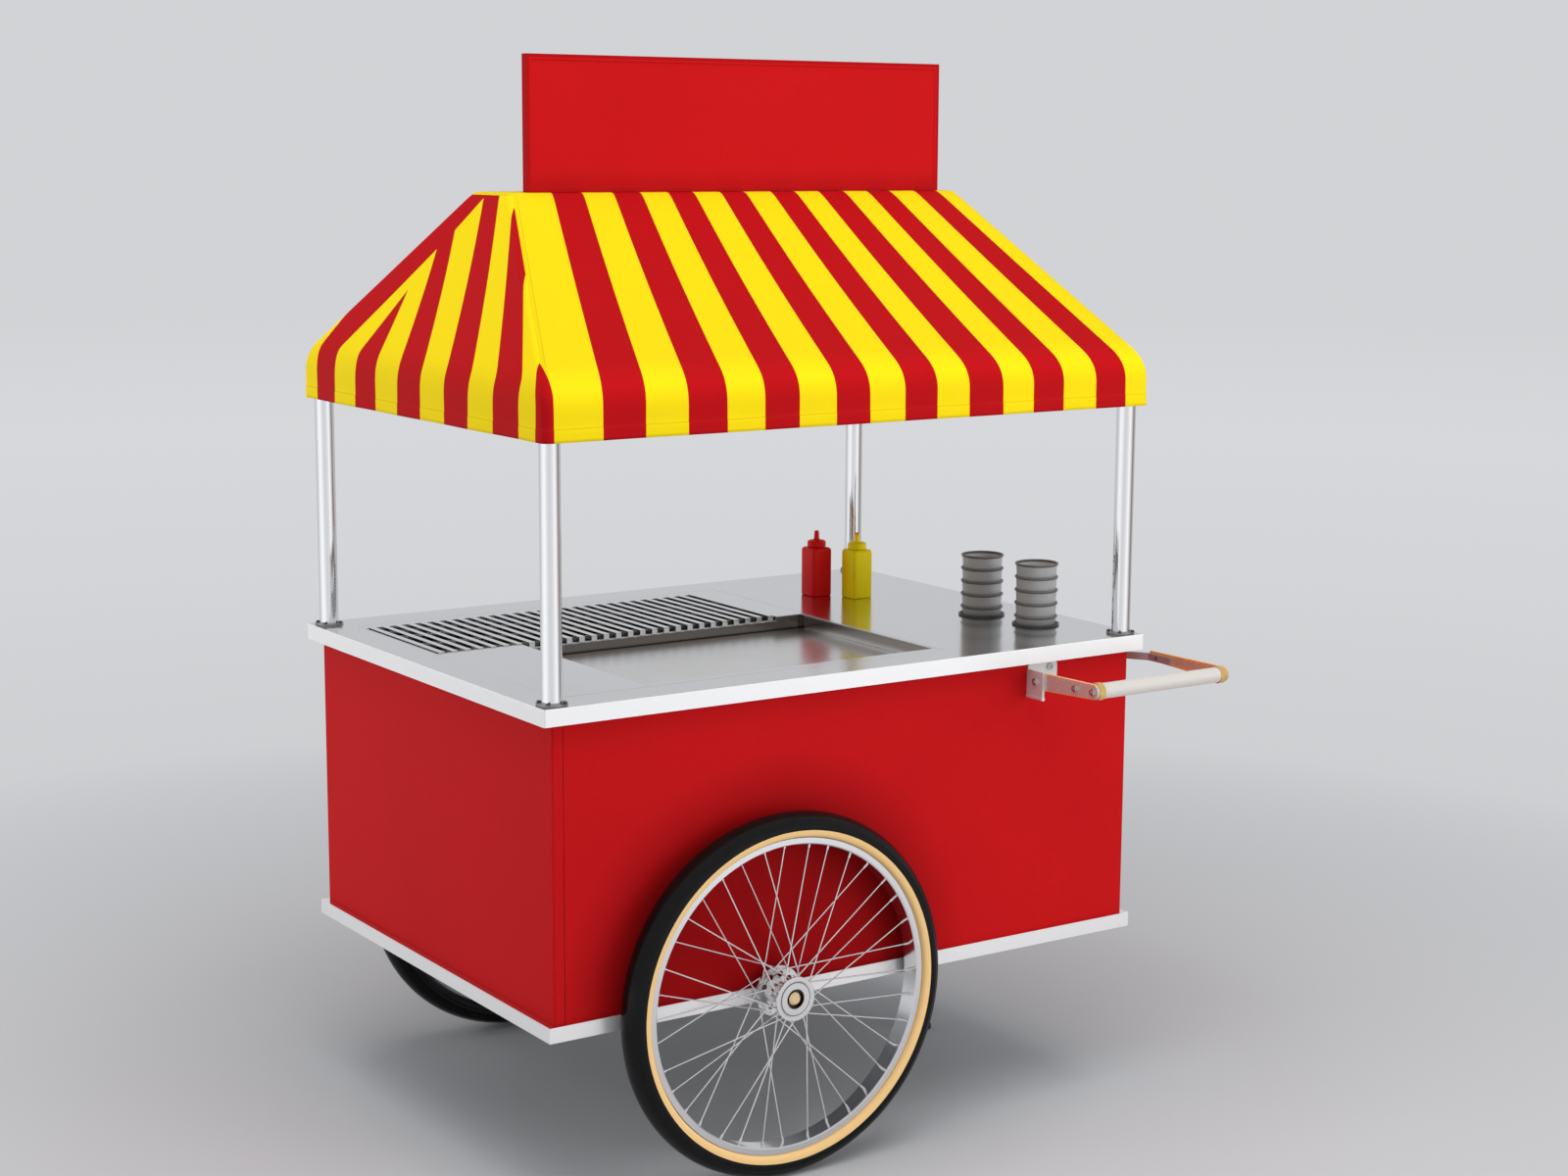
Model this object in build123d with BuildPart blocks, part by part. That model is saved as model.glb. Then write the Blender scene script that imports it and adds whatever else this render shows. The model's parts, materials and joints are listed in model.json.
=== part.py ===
from build123d import *
import os
from math import cos, radians, sin

os.makedirs("parts", exist_ok=True)

# Driving sizes, in millimetres
wheel_r = 330.0
tyre_w = 58.0
axle_d = 15.0
axle_x = -186.0
counter_l = 1300.0
counter_w = 950.0
counter_top = 890.0
counter_t = 30.0
overhang_l = 25.0
overhang_w = 20.0
ledge_l = 14.0
ledge_w = 9.0
sheet = 2.0
post_d = 36.0
post_inset = 32.0
shoulder_z = 1412.0
valance_h = 84.0
canopy_rise = 309.0
crown_half_l = 488.0
crown_half_w = 75.0
sign_l = 900.0
sign_h = 240.0
sign_y = -57.0
grate_bars = 28
spoke_pairs = 9

# Named clearances
fit_gap = 0.03
running_gap = 0.05
soft_gap = 0.4
part_gap = 0.5
tyre_gap = 4.0

# Derived body sizes
axle_r = axle_d / 2
axle_z = wheel_r
body_l = counter_l - 2 * overhang_l
body_w = counter_w - 2 * overhang_w
base_l = body_l + 2 * ledge_l
base_w = body_w + 2 * ledge_w
base_top = axle_z + axle_r + part_gap + sheet
base_h = 27.0
base_bottom = base_top - base_h
counter_under = counter_top - counter_t
deck_under = counter_top - sheet
panel_h = counter_under - base_top
front_y = -body_w / 2
rear_y = body_w / 2
end_x = body_l / 2
wheel_y = base_w / 2 + tyre_gap + tyre_w / 2
post_x = counter_l / 2 - post_inset
post_y = counter_w / 2 - post_inset
valance_bottom = shoulder_z - valance_h
canopy_top = shoulder_z + canopy_rise
canopy_half_l = counter_l / 2 - 5.0
canopy_half_w = counter_w / 2 + 1.0

# Handle sizes
arm_t = 6.0
arm_z = counter_top - 56.0
grip_r = 14.5
ring_r = grip_r + 1.8
nose_r = 14.0
near_arm_x = counter_l / 2 - 264.0
near_root_z = arm_z - 7.0
near_root_h = 34.0
far_arm_x = counter_l / 2 + 50.0
far_root_z = arm_z + 3.0
far_root_h = 18.0
far_arm_end_y = front_y + 18.0
grip_y = front_y - 182.0
bolt_r = 4.0
bolt_head_r = 6.5
bolt_head_t = 4.0

# Hub sizes
hub_half = 26.0
nut_end = 36.0

# The cart's middle sits so that the origin is under the middle of the whole box
box_left = -counter_l / 2
box_right = far_arm_x + arm_t + bolt_head_t
box_front = grip_y - ring_r
box_rear = wheel_y + nut_end
mid_x = -(box_left + box_right) / 2
mid_y = -(box_front + box_rear) / 2


def level(z):
    return Plane(origin=(mid_x, mid_y, z), x_dir=(1, 0, 0), z_dir=(0, 0, 1))


def facing(y):
    return Plane(origin=(mid_x, mid_y + y, 0), x_dir=(1, 0, 0), z_dir=(0, -1, 0))


def across(x):
    return Plane(origin=(mid_x + x, mid_y, 0), x_dir=(0, 1, 0), z_dir=(1, 0, 0))


def block(x0, x1, y0, y1, z0, z1, mode=Mode.ADD):
    with BuildSketch(level(z0)) as outline:
        with Locations(((x0 + x1) / 2, (y0 + y1) / 2)):
            Rectangle(x1 - x0, y1 - y0)
    extrude(outline.sketch, amount=z1 - z0, mode=mode)


def rod_y(x, z, r, y0, y1, mode=Mode.ADD):
    with BuildSketch(facing(y1)) as outline:
        with Locations((x, z)):
            Circle(r)
    extrude(outline.sketch, amount=y1 - y0, mode=mode)


def rod_x(y, z, r, x0, x1, mode=Mode.ADD):
    with BuildSketch(across(x0)) as outline:
        with Locations((y, z)):
            Circle(r)
    extrude(outline.sketch, amount=x1 - x0, mode=mode)


def rod_z(x, y, r, z0, z1, mode=Mode.ADD):
    with BuildSketch(level(z0)) as outline:
        with Locations((x, y)):
            Circle(r)
    extrude(outline.sketch, amount=z1 - z0, mode=mode)


# Stand leg sizes, needed by the base frame
foot_x = counter_l / 2 - 160.0
leg_pivot_x = foot_x - 20.0
leg_pivot_z = base_bottom - 25.0
leg_r = 10.0
foot_r = 20.0
foot_t = 10.0
leg_pin_r = 5.0

# Base frame: channel ring with a cross channel for the leg and two axle blocks
flange_w = 50.0
with BuildPart() as base_frame:
    with BuildSketch(level(base_bottom)):
        Rectangle(base_l, base_w)
        Rectangle(base_l - 2 * flange_w, base_w - 2 * flange_w, mode=Mode.SUBTRACT)
    extrude(amount=base_h)
    with BuildSketch(level(base_bottom + sheet)):
        Rectangle(base_l - 2 * sheet, base_w - 2 * sheet)
    extrude(amount=base_h - 2 * sheet, mode=Mode.SUBTRACT)
    inner_y = base_w / 2 - sheet
    low = base_bottom + sheet
    high = base_top - sheet
    block(leg_pivot_x - 24, leg_pivot_x + 24, -inner_y, inner_y, low, high)
    block(leg_pivot_x - 21, leg_pivot_x + 21, -inner_y, inner_y, low + 3, high, mode=Mode.SUBTRACT)
    block(axle_x - 30, axle_x + 30, -inner_y, -inner_y + 44, low, high)
    block(axle_x - 30, axle_x + 30, inner_y - 44, inner_y, low, high)
    rod_y(axle_x, axle_z, axle_r + fit_gap, -base_w / 2 - 1, base_w / 2 + 1, mode=Mode.SUBTRACT)
base_frame.part.label = "base_frame"
export_step(base_frame.part, "parts/base_frame.step")

# Floor panel on the base frame's top flange
with BuildPart() as floor_panel:
    with BuildSketch(level(base_top)):
        Rectangle(body_l - 2 * sheet - 2 * part_gap, body_w - 2 * sheet - 2 * part_gap)
    extrude(amount=sheet)
floor_panel.part.label = "floor_panel"
export_step(floor_panel.part, "parts/floor_panel.step")

# Front panel beside the left panel's return, with the two bolt holes of the near handle bracket
panel_mid_z = (base_top + counter_under) / 2
return_w = 20.0
seam = 1.2
near_plate_x = near_arm_x + 46.0
bracket_z = arm_z - 8.5
plate_bolt_dz = 22.0
near_bolt_dz = (-4.0, 22.0)
with BuildPart() as front_panel:
    with BuildSketch(facing(front_y + sheet)):
        with Locations(((return_w + seam) / 2, panel_mid_z)):
            Rectangle(body_l - return_w - seam, panel_h)
        with Locations(*[(near_plate_x, bracket_z + dz) for dz in near_bolt_dz]):
            Circle(bolt_r + fit_gap, mode=Mode.SUBTRACT)
    extrude(amount=sheet)
front_panel.part.label = "front_panel"
export_step(front_panel.part, "parts/front_panel.step")

# Rear panel with the door opening and the holes for the knob shafts
knob_z = 780.0
plate_x0 = -counter_l / 2 + 68.0
grill_valve_x = plate_x0 + 373.0
pan_valve_x = plate_x0 + 490.0
knob_shaft_r = 4.0
door_x1 = end_x - 55.0
door_x0 = door_x1 - 370.0
door_z0 = base_top + 40.0
door_z1 = counter_under - 60.0
door_lap = 12.0
with BuildPart() as rear_panel:
    with BuildSketch(facing(rear_y)):
        with Locations((0, panel_mid_z)):
            Rectangle(body_l, panel_h)
        with Locations(((door_x0 + door_x1) / 2, (door_z0 + door_z1) / 2)):
            Rectangle(door_x1 - door_x0 - 2 * door_lap, door_z1 - door_z0 - 2 * door_lap, mode=Mode.SUBTRACT)
        with Locations((grill_valve_x, knob_z), (pan_valve_x, knob_z)):
            Circle(knob_shaft_r + part_gap, mode=Mode.SUBTRACT)
    extrude(amount=sheet)
rear_panel.part.label = "rear_panel"
export_step(rear_panel.part, "parts/rear_panel.step")

# End panels: the left one is folded round the front corner, the right one stands between front and rear
with BuildPart() as left_panel:
    block(-end_x, -end_x + sheet, front_y, rear_y - sheet, base_top, counter_under)
    block(-end_x, -end_x + return_w, front_y, front_y + sheet, base_top, counter_under)
    bend = left_panel.edges().filter_by(Axis.Z).sort_by(lambda edge: edge.center().X + edge.center().Y)[0]
    fillet(bend, radius=1.5 * sheet)
left_panel.part.label = "left_panel"
export_step(left_panel.part, "parts/left_panel.step")

far_plate_y = far_arm_end_y + 137.0
with BuildPart() as right_panel:
    with BuildSketch(across(end_x - sheet)):
        with Locations((0, panel_mid_z)):
            Rectangle(body_w - 2 * sheet, panel_h)
        with Locations((far_plate_y, bracket_z - plate_bolt_dz), (far_plate_y, bracket_z + plate_bolt_dz)):
            Circle(bolt_r + fit_gap, mode=Mode.SUBTRACT)
    extrude(amount=sheet)
right_panel.part.label = "right_panel"
export_step(right_panel.part, "parts/right_panel.step")

# Corner angles that tie the four panels together
angle_leg = 30.0
angle_t = 3.0
corner_x = end_x - sheet
corner_y = body_w / 2 - sheet
with BuildPart() as corner_angles:
    with BuildSketch(level(base_top + sheet)):
        for sx in (-1, 1):
            for sy in (-1, 1):
                with Locations((sx * (corner_x - angle_leg / 2), sy * (corner_y - angle_t / 2))):
                    Rectangle(angle_leg, angle_t)
                with Locations((sx * (corner_x - angle_t / 2), sy * (corner_y - angle_leg / 2))):
                    Rectangle(angle_t, angle_leg)
    extrude(amount=panel_h - sheet)
corner_angles.part.label = "corner_angles"
export_step(corner_angles.part, "parts/corner_angles.step")

# Cooktop layout on the counter, measured from the cart's middle
plate_x1 = plate_x0 + 808.0
plate_y0 = -400.0
plate_y1 = 392.0
well_x0 = plate_x0 + 4.0
well_x1 = plate_x0 + 742.0
well_y0 = 60.0
well_y1 = 362.0
pan_x0 = plate_x0 + 178.0
pan_x1 = plate_x0 + 801.0
pan_y0 = -379.0
pan_y1 = well_y0 - 2 * sheet
pan_floor = counter_top - 27.0
well_floor = counter_top - 90.0
ledge_z = counter_top - 10.0
cup_spots = ((counter_l / 2 - 132.0, -141.0), (counter_l / 2 - 110.0, -283.0))
sleeve_r = 42.2
post_spots = ((-post_x, -post_y), (post_x, -post_y), (-post_x, post_y), (post_x, post_y))
screw_ring_r = 22.5
screw_r = 2.1

# Countertop: folded sheet box with a turned-under edge and ledges for the cooktop plate
with BuildPart() as countertop:
    with BuildSketch(level(counter_under)):
        Rectangle(counter_l, counter_w)
    extrude(amount=counter_t)
    fillet(countertop.edges().filter_by(Axis.Z), radius=4)
    fillet(countertop.faces().sort_by(Axis.Z)[-1].edges(), radius=1.5)
    with BuildSketch(level(counter_under + sheet)):
        Rectangle(counter_l - 2 * sheet, counter_w - 2 * sheet)
    extrude(amount=counter_t - 2 * sheet, mode=Mode.SUBTRACT)
    with BuildSketch(level(counter_under)):
        Rectangle(body_l - 66, body_w - 66)
    extrude(amount=sheet, mode=Mode.SUBTRACT)
    with BuildSketch(level(deck_under)):
        with Locations(((plate_x0 + plate_x1) / 2, (plate_y0 + plate_y1) / 2)):
            Rectangle(plate_x1 - plate_x0 + 2 * part_gap, plate_y1 - plate_y0 + 2 * part_gap)
        with Locations(*cup_spots):
            Circle(sleeve_r + part_gap)
        for px, py in post_spots:
            with Locations((px, py)):
                with PolarLocations(screw_ring_r, 4, start_angle=45):
                    Circle(screw_r + 2 * fit_gap)
    extrude(amount=sheet, mode=Mode.SUBTRACT)
    block(plate_x0, plate_x1, plate_y0 - 8, plate_y0 + 12, deck_under - sheet, deck_under)
    block(plate_x0, plate_x1, plate_y1 - 12, plate_y1 + 8, deck_under - sheet, deck_under)
countertop.part.label = "countertop"
export_step(countertop.part, "parts/countertop.step")

# Cooktop plate: a deck sheet round the well, and three strips butted round the pan
with BuildPart() as cooktop_plate:
    block(plate_x0, plate_x1, pan_y1, plate_y1, deck_under, counter_top)
    block(well_x0, well_x1, well_y0, well_y1, deck_under, counter_top, mode=Mode.SUBTRACT)
    block(pan_x0, well_x1, pan_y1, well_y0, deck_under, counter_top, mode=Mode.SUBTRACT)
    block(plate_x0, pan_x0, plate_y0, pan_y1 - fit_gap, deck_under, counter_top)
    block(pan_x0 + fit_gap, plate_x1, plate_y0, pan_y0 - fit_gap, deck_under, counter_top)
    block(pan_x1, plate_x1, pan_y0, pan_y1 - fit_gap, deck_under, counter_top)
cooktop_plate.part.label = "cooktop_plate"
export_step(cooktop_plate.part, "parts/cooktop_plate.step")

# Grill well: open box under the grate, with two ledges and a hole for the burner's riser
burner_r = 14.0
burner_y = (well_y0 + well_y1) / 2
with BuildPart() as grill_well:
    block(well_x0 - sheet, well_x1 + sheet, well_y0 - sheet, well_y1 + sheet, well_floor, deck_under)
    block(well_x0, well_x1, well_y0, well_y1, well_floor + sheet, deck_under, mode=Mode.SUBTRACT)
    block(pan_x0, well_x1, well_y0 - sheet, well_y0, ledge_z, deck_under, mode=Mode.SUBTRACT)
    block(well_x0, well_x1, well_y0, well_y0 + 14, ledge_z - 3, ledge_z)
    block(well_x0, well_x1, well_y1 - 14, well_y1, ledge_z - 3, ledge_z)
    rod_z(grill_valve_x, burner_y, burner_r + part_gap, well_floor - 1, well_floor + sheet + 1, mode=Mode.SUBTRACT)
grill_well.part.label = "grill_well"
export_step(grill_well.part, "parts/grill_well.step")

# Steam pan hung under the plate: a wall frame, lowered at the back below the grate's bars, on a welded floor sheet
with BuildPart() as steam_pan:
    block(pan_x0 - sheet, pan_x1 + sheet, pan_y0 - sheet, pan_y1 + sheet, pan_floor + fit_gap, deck_under)
    block(pan_x0, pan_x1, pan_y0, pan_y1, pan_floor, deck_under, mode=Mode.SUBTRACT)
    block(pan_x0, well_x1, pan_y1, pan_y1 + sheet, ledge_z, deck_under, mode=Mode.SUBTRACT)
    block(pan_x0 - sheet, pan_x1 + sheet, pan_y0 - sheet, pan_y1 + sheet, pan_floor - sheet, pan_floor)
steam_pan.part.label = "steam_pan"
export_step(steam_pan.part, "parts/steam_pan.step")

# Grill grate: bars along the depth on three cross rods
bar_w = 12.0
bar_h = 12.0
grate_l = well_x1 - well_x0 - 8.0
grate_w = well_y1 - well_y0 - 2.0
grate_x = (well_x0 + well_x1) / 2
bar_pitch = (grate_l - bar_w) / (grate_bars - 1)
with BuildPart() as grill_grate:
    with BuildSketch(level(ledge_z)):
        with Locations((grate_x, burner_y)):
            with GridLocations(bar_pitch, 1, grate_bars, 1):
                Rectangle(bar_w, grate_w)
    extrude(amount=bar_h)
    for rod_off in (-90.0, 0.0, 90.0):
        rod_x(burner_y + rod_off, ledge_z - 2.5, 4.0, grate_x - grate_l / 2 + 1, grate_x + grate_l / 2 - 1)
grill_grate.part.label = "grill_grate"
export_step(grill_grate.part, "parts/grill_grate.step")

# Gas valves bolted to the rear panel's inside, each with a bore for its knob's shaft
valve_y0 = rear_y - sheet - 43.0
valve_y1 = rear_y - sheet
valve_half = 15.0
valve_z0 = knob_z - 18.0
valve_z1 = knob_z + 18.0
feed_r = 12.0
with BuildPart() as gas_valves:
    for valve_x in (grill_valve_x, pan_valve_x):
        block(valve_x - valve_half, valve_x + valve_half, valve_y0, valve_y1, valve_z0, valve_z1)
    for valve_x in (grill_valve_x, pan_valve_x):
        rod_y(valve_x, knob_z, knob_shaft_r + running_gap, valve_y0, valve_y1, mode=Mode.SUBTRACT)
        rod_z(valve_x, valve_y0 + 8, 4.0, valve_z0, knob_z, mode=Mode.SUBTRACT)
gas_valves.part.label = "gas_valves"
export_step(gas_valves.part, "parts/gas_valves.step")

# Gas manifold under the valves, with two bosses and a ribbed hose tail
manifold_z = valve_z0 - 16.0
manifold_y = valve_y0 + 8.0
manifold_x0 = grill_valve_x - 40.0
manifold_x1 = pan_valve_x + 130.0
tail_l = 36.0
tail_r = 4.0
tail_rib_r = 4.75
tail_bore_r = 2.5
with BuildPart() as gas_manifold:
    rod_x(manifold_y, manifold_z, 11.0, manifold_x0, manifold_x1)
    for valve_x in (grill_valve_x, pan_valve_x):
        rod_z(valve_x, manifold_y, 8.0, manifold_z, valve_z0)
    rod_x(manifold_y, manifold_z, tail_r, manifold_x1, manifold_x1 + tail_l)
    for rib in (12.0, 20.0, 28.0):
        rod_x(manifold_y, manifold_z, tail_rib_r, manifold_x1 + rib, manifold_x1 + rib + 3)
    rod_x(manifold_y, manifold_z, 8.0, manifold_x0 + 4, manifold_x1 - 4, mode=Mode.SUBTRACT)
    rod_x(manifold_y, manifold_z, tail_bore_r, manifold_x1 - 5, manifold_x1 + tail_l, mode=Mode.SUBTRACT)
    for valve_x in (grill_valve_x, pan_valve_x):
        rod_z(valve_x, manifold_y, 4.0, manifold_z, valve_z0, mode=Mode.SUBTRACT)
gas_manifold.part.label = "gas_manifold"
export_step(gas_manifold.part, "parts/gas_manifold.step")

# Grill burner: feed under the well, riser through its floor and a cross tube with ports
grill_tube_z = well_floor + 38.0
grill_tube_x0 = well_x0 + 60.0
grill_tube_x1 = well_x1 - 60.0
with BuildPart() as grill_burner:
    rod_x(burner_y, grill_tube_z, burner_r, grill_tube_x0, grill_tube_x1)
    rod_z(grill_valve_x, burner_y, burner_r, knob_z, grill_tube_z)
    rod_y(grill_valve_x, knob_z, feed_r, burner_y, valve_y0)
    rod_x(burner_y, grill_tube_z, burner_r - 2, grill_tube_x0 + 2, grill_tube_x1 - 2, mode=Mode.SUBTRACT)
    rod_z(grill_valve_x, burner_y, burner_r - 3, knob_z, grill_tube_z, mode=Mode.SUBTRACT)
    rod_y(grill_valve_x, knob_z, feed_r - 3, burner_y, valve_y0, mode=Mode.SUBTRACT)
    with BuildSketch(level(grill_tube_z)):
        with Locations(((grill_tube_x0 + grill_tube_x1) / 2, burner_y)):
            with GridLocations(40, 1, 15, 1):
                Rectangle(3, 3)
    extrude(amount=burner_r + 1, mode=Mode.SUBTRACT)
grill_burner.part.label = "grill_burner"
export_step(grill_burner.part, "parts/grill_burner.step")

# Pan burner: feed under the grill well and a cross tube with ports under the pan
pan_tube_y = (pan_y0 + pan_y1) / 2
pan_tube_x0 = pan_x0 + 60.0
pan_tube_x1 = pan_x1 - 60.0
with BuildPart() as pan_burner:
    rod_x(pan_tube_y, knob_z, burner_r, pan_tube_x0, pan_tube_x1)
    rod_y(pan_valve_x, knob_z, feed_r, pan_tube_y, valve_y0)
    rod_x(pan_tube_y, knob_z, burner_r - 2, pan_tube_x0 + 2, pan_tube_x1 - 2, mode=Mode.SUBTRACT)
    rod_y(pan_valve_x, knob_z, feed_r - 3, pan_tube_y, valve_y0, mode=Mode.SUBTRACT)
    with BuildSketch(level(knob_z)):
        with Locations(((pan_tube_x0 + pan_tube_x1) / 2, pan_tube_y)):
            with GridLocations(40, 1, 12, 1):
                Rectangle(3, 3)
    extrude(amount=burner_r + 1, mode=Mode.SUBTRACT)
pan_burner.part.label = "pan_burner"
export_step(pan_burner.part, "parts/pan_burner.step")

# Control knobs: a grip with a pointer ridge, each on a shaft that turns in its valve
knob_r = 19.0
knob_y0 = rear_y + 2.0
knob_y1 = knob_y0 + 18.0
for knob_name, knob_x in (("knob_grill", grill_valve_x), ("knob_pan", pan_valve_x)):
    with BuildPart() as knob:
        rod_y(knob_x, knob_z, knob_r, knob_y0, knob_y0 + 8)
        rod_y(knob_x, knob_z, knob_r - 3, knob_y0 + 8, knob_y1 - 4)
        block(knob_x - 3, knob_x + 3, knob_y1 - 4, knob_y1, knob_z - 15, knob_z + 15)
        rod_y(knob_x, knob_z, knob_shaft_r, valve_y0 + 18, knob_y0)
    knob.part.label = knob_name
    export_step(knob.part, "parts/" + knob_name + ".step")

# Post flanges on the counter and the screws that hold them
post_r = post_d / 2
post_flange_r = 27.0
post_flange_t = 4.0
with BuildPart() as post_flanges:
    with BuildSketch(level(counter_top)):
        for px, py in post_spots:
            with Locations((px, py)):
                Circle(post_flange_r)
                with PolarLocations(screw_ring_r, 4, start_angle=45):
                    Circle(screw_r + 2 * fit_gap, mode=Mode.SUBTRACT)
    extrude(amount=post_flange_t)
post_flanges.part.label = "post_flanges"
export_step(post_flanges.part, "parts/post_flanges.step")

screw_seat = counter_top + post_flange_t
with BuildPart() as flange_screws:
    with BuildSketch(level(screw_seat)):
        for px, py in post_spots:
            with Locations((px, py)):
                with PolarLocations(screw_ring_r, 4, start_angle=45):
                    Circle(3.5)
    extrude(amount=2.5)
    with BuildSketch(level(screw_seat - 14)):
        for px, py in post_spots:
            with Locations((px, py)):
                with PolarLocations(screw_ring_r, 4, start_angle=45):
                    Circle(screw_r)
    extrude(amount=14)
flange_screws.part.label = "flange_screws"
export_step(flange_screws.part, "parts/flange_screws.step")

# Four tube posts from the flanges up to the eave ring
eave_z0 = shoulder_z - 32.0
eave_h = 18.0
post_names = ("post_front_left", "post_front_right", "post_rear_left", "post_rear_right")
for post_name, (px, py) in zip(post_names, post_spots):
    with BuildPart() as post:
        with BuildSketch(level(screw_seat)):
            with Locations((px, py)):
                Circle(post_r)
                Circle(post_r - 2, mode=Mode.SUBTRACT)
        extrude(amount=eave_z0 - screw_seat)
    post.part.label = post_name
    export_step(post.part, "parts/" + post_name + ".step")

# Canopy frame: eave ring on the posts, four hip rafters and a top ring, welded
eave_bar = 26.0
crown_bar = 24.0
crown_h = 16.0
cover_t = 2.0
crown_z1 = canopy_top - cover_t - soft_gap
crown_z0 = crown_z1 - crown_h
crown_x = crown_half_l - 26.0
crown_y = crown_half_w - 25.0
rafter_r = 9.0
with BuildPart() as canopy_frame:
    with BuildSketch(level(eave_z0)):
        Rectangle(2 * post_x + eave_bar, 2 * post_y + eave_bar)
        Rectangle(2 * post_x - eave_bar, 2 * post_y - eave_bar, mode=Mode.SUBTRACT)
    extrude(amount=eave_h)
    with BuildSketch(level(crown_z0)):
        Rectangle(2 * crown_x + crown_bar, 2 * crown_y + crown_bar)
        Rectangle(2 * crown_x - crown_bar, 2 * crown_y - crown_bar, mode=Mode.SUBTRACT)
    extrude(amount=crown_h)
    for sx in (-1, 1):
        for sy in (-1, 1):
            with BuildSketch(level(eave_z0 + eave_h - 1)):
                with Locations((sx * post_x, sy * post_y)):
                    Circle(rafter_r)
            with BuildSketch(level(crown_z0 + 1)):
                with Locations((sx * crown_x, sy * crown_y)):
                    Circle(rafter_r)
            loft(ruled=True)
canopy_frame.part.label = "canopy_frame"
export_step(canopy_frame.part, "parts/canopy_frame.step")

# Canopy cover: one open shell with a straight valance, a rounded shoulder and a flat crown
shoulder_run = 34.0
crown_run = 16.0
slope_l = (canopy_half_l - crown_half_l) / (canopy_top - shoulder_z)
slope_w = (canopy_half_w - crown_half_w) / (canopy_top - shoulder_z)
leg_slot_x = 300.0


def canopy_sections(inset, drop):
    rows = [(valance_bottom, 0.0)]
    for step in (0.0, 0.25, 0.5, 0.75, 1.0):
        z = (1 - step) ** 2 * (shoulder_z - shoulder_run)
        z += 2 * step * (1 - step) * shoulder_z + step ** 2 * (shoulder_z + shoulder_run * 0.7)
        rows.append((z, step ** 2 * shoulder_run * 0.7))
    for step in (0.0, 0.35, 0.7, 1.0):
        z = canopy_top - crown_run * (1 - step) ** 2
        rows.append((z, z - shoulder_z + step ** 2 * 6.0))
    return [
        (z - drop, canopy_half_l - rise * slope_l - inset, canopy_half_w - rise * slope_w - inset)
        for z, rise in rows
    ]


with BuildPart() as canopy_cover:
    for z, half_l, half_w in canopy_sections(0.0, 0.0):
        with BuildSketch(level(z)):
            RectangleRounded(2 * half_l, 2 * half_w, 16.0)
    loft(ruled=True)
    for z, half_l, half_w in canopy_sections(cover_t, cover_t):
        with BuildSketch(level(z)):
            RectangleRounded(2 * half_l, 2 * half_w, 14.0)
    loft(ruled=True, mode=Mode.SUBTRACT)
    for sx in (-1, 1):
        block(sx * leg_slot_x - 17, sx * leg_slot_x + 17, sign_y - 5, sign_y + 5, canopy_top - 8, canopy_top + 1,
              mode=Mode.SUBTRACT)
canopy_cover.part.label = "canopy_cover"
export_step(canopy_cover.part, "parts/canopy_cover.step")

# Sign panel with a raised border, and the two flat legs it stands on
sign_t = 18.0
sign_z0 = canopy_top + soft_gap
sign_mid_z = sign_z0 + sign_h / 2
sign_front = sign_y - sign_t / 2
leg_socket = 130.0
with BuildPart() as sign_panel:
    with BuildSketch(facing(sign_y + sign_t / 2)):
        with Locations((0, sign_mid_z)):
            Rectangle(sign_l, sign_h)
    extrude(amount=sign_t)
    with BuildSketch(facing(sign_front + 1.5)):
        with Locations((0, sign_mid_z)):
            Rectangle(sign_l - 20, sign_h - 20)
    extrude(amount=1.5, mode=Mode.SUBTRACT)
    for sx in (-1, 1):
        block(sx * leg_slot_x - 15 - fit_gap, sx * leg_slot_x + 15 + fit_gap, sign_y - 2.5 - fit_gap,
              sign_y + 2.5 + fit_gap, sign_z0, sign_z0 + leg_socket, mode=Mode.SUBTRACT)
sign_panel.part.label = "sign_panel"
export_step(sign_panel.part, "parts/sign_panel.step")

with BuildPart() as sign_legs:
    for sx in (-1, 1):
        block(sx * leg_slot_x - 15, sx * leg_slot_x + 15, sign_y - 2.5, sign_y + 2.5, crown_z1, sign_z0 + leg_socket)
sign_legs.part.label = "sign_legs"
export_step(sign_legs.part, "parts/sign_legs.step")

# Axle through the base frame, with a shoulder for each wheel's inner bearing
bearing_w = 9.0
bearing_r = 16.0
bearing_in = 13.0
bearing_out = bearing_in + bearing_w
shoulder_r = 10.0
axle_end = wheel_y + 31.0
shoulder_y0 = base_w / 2 + part_gap
shoulder_y1 = wheel_y - bearing_out - part_gap
with BuildPart() as axle:
    rod_y(axle_x, axle_z, axle_r, -axle_end, axle_end)
    rod_y(axle_x, axle_z, shoulder_r, -shoulder_y1, -shoulder_y0)
    rod_y(axle_x, axle_z, shoulder_r, shoulder_y0, shoulder_y1)
axle.part.label = "axle"
export_step(axle.part, "parts/axle.step")


def wheel_plane(side):
    place = (mid_x + axle_x, mid_y + side * wheel_y, axle_z)
    return Plane(origin=place, x_dir=(0, side, 0), z_dir=(side, 0, 0))


def wheel_axis(side):
    return Axis((mid_x + axle_x, mid_y + side * wheel_y, axle_z), (0, 1, 0))


def wheel_point(side, out, radius, angle):
    x = mid_x + axle_x + radius * cos(radians(angle))
    z = axle_z + radius * sin(radians(angle))
    return Vector(x, mid_y + side * (wheel_y + out), z)


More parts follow.
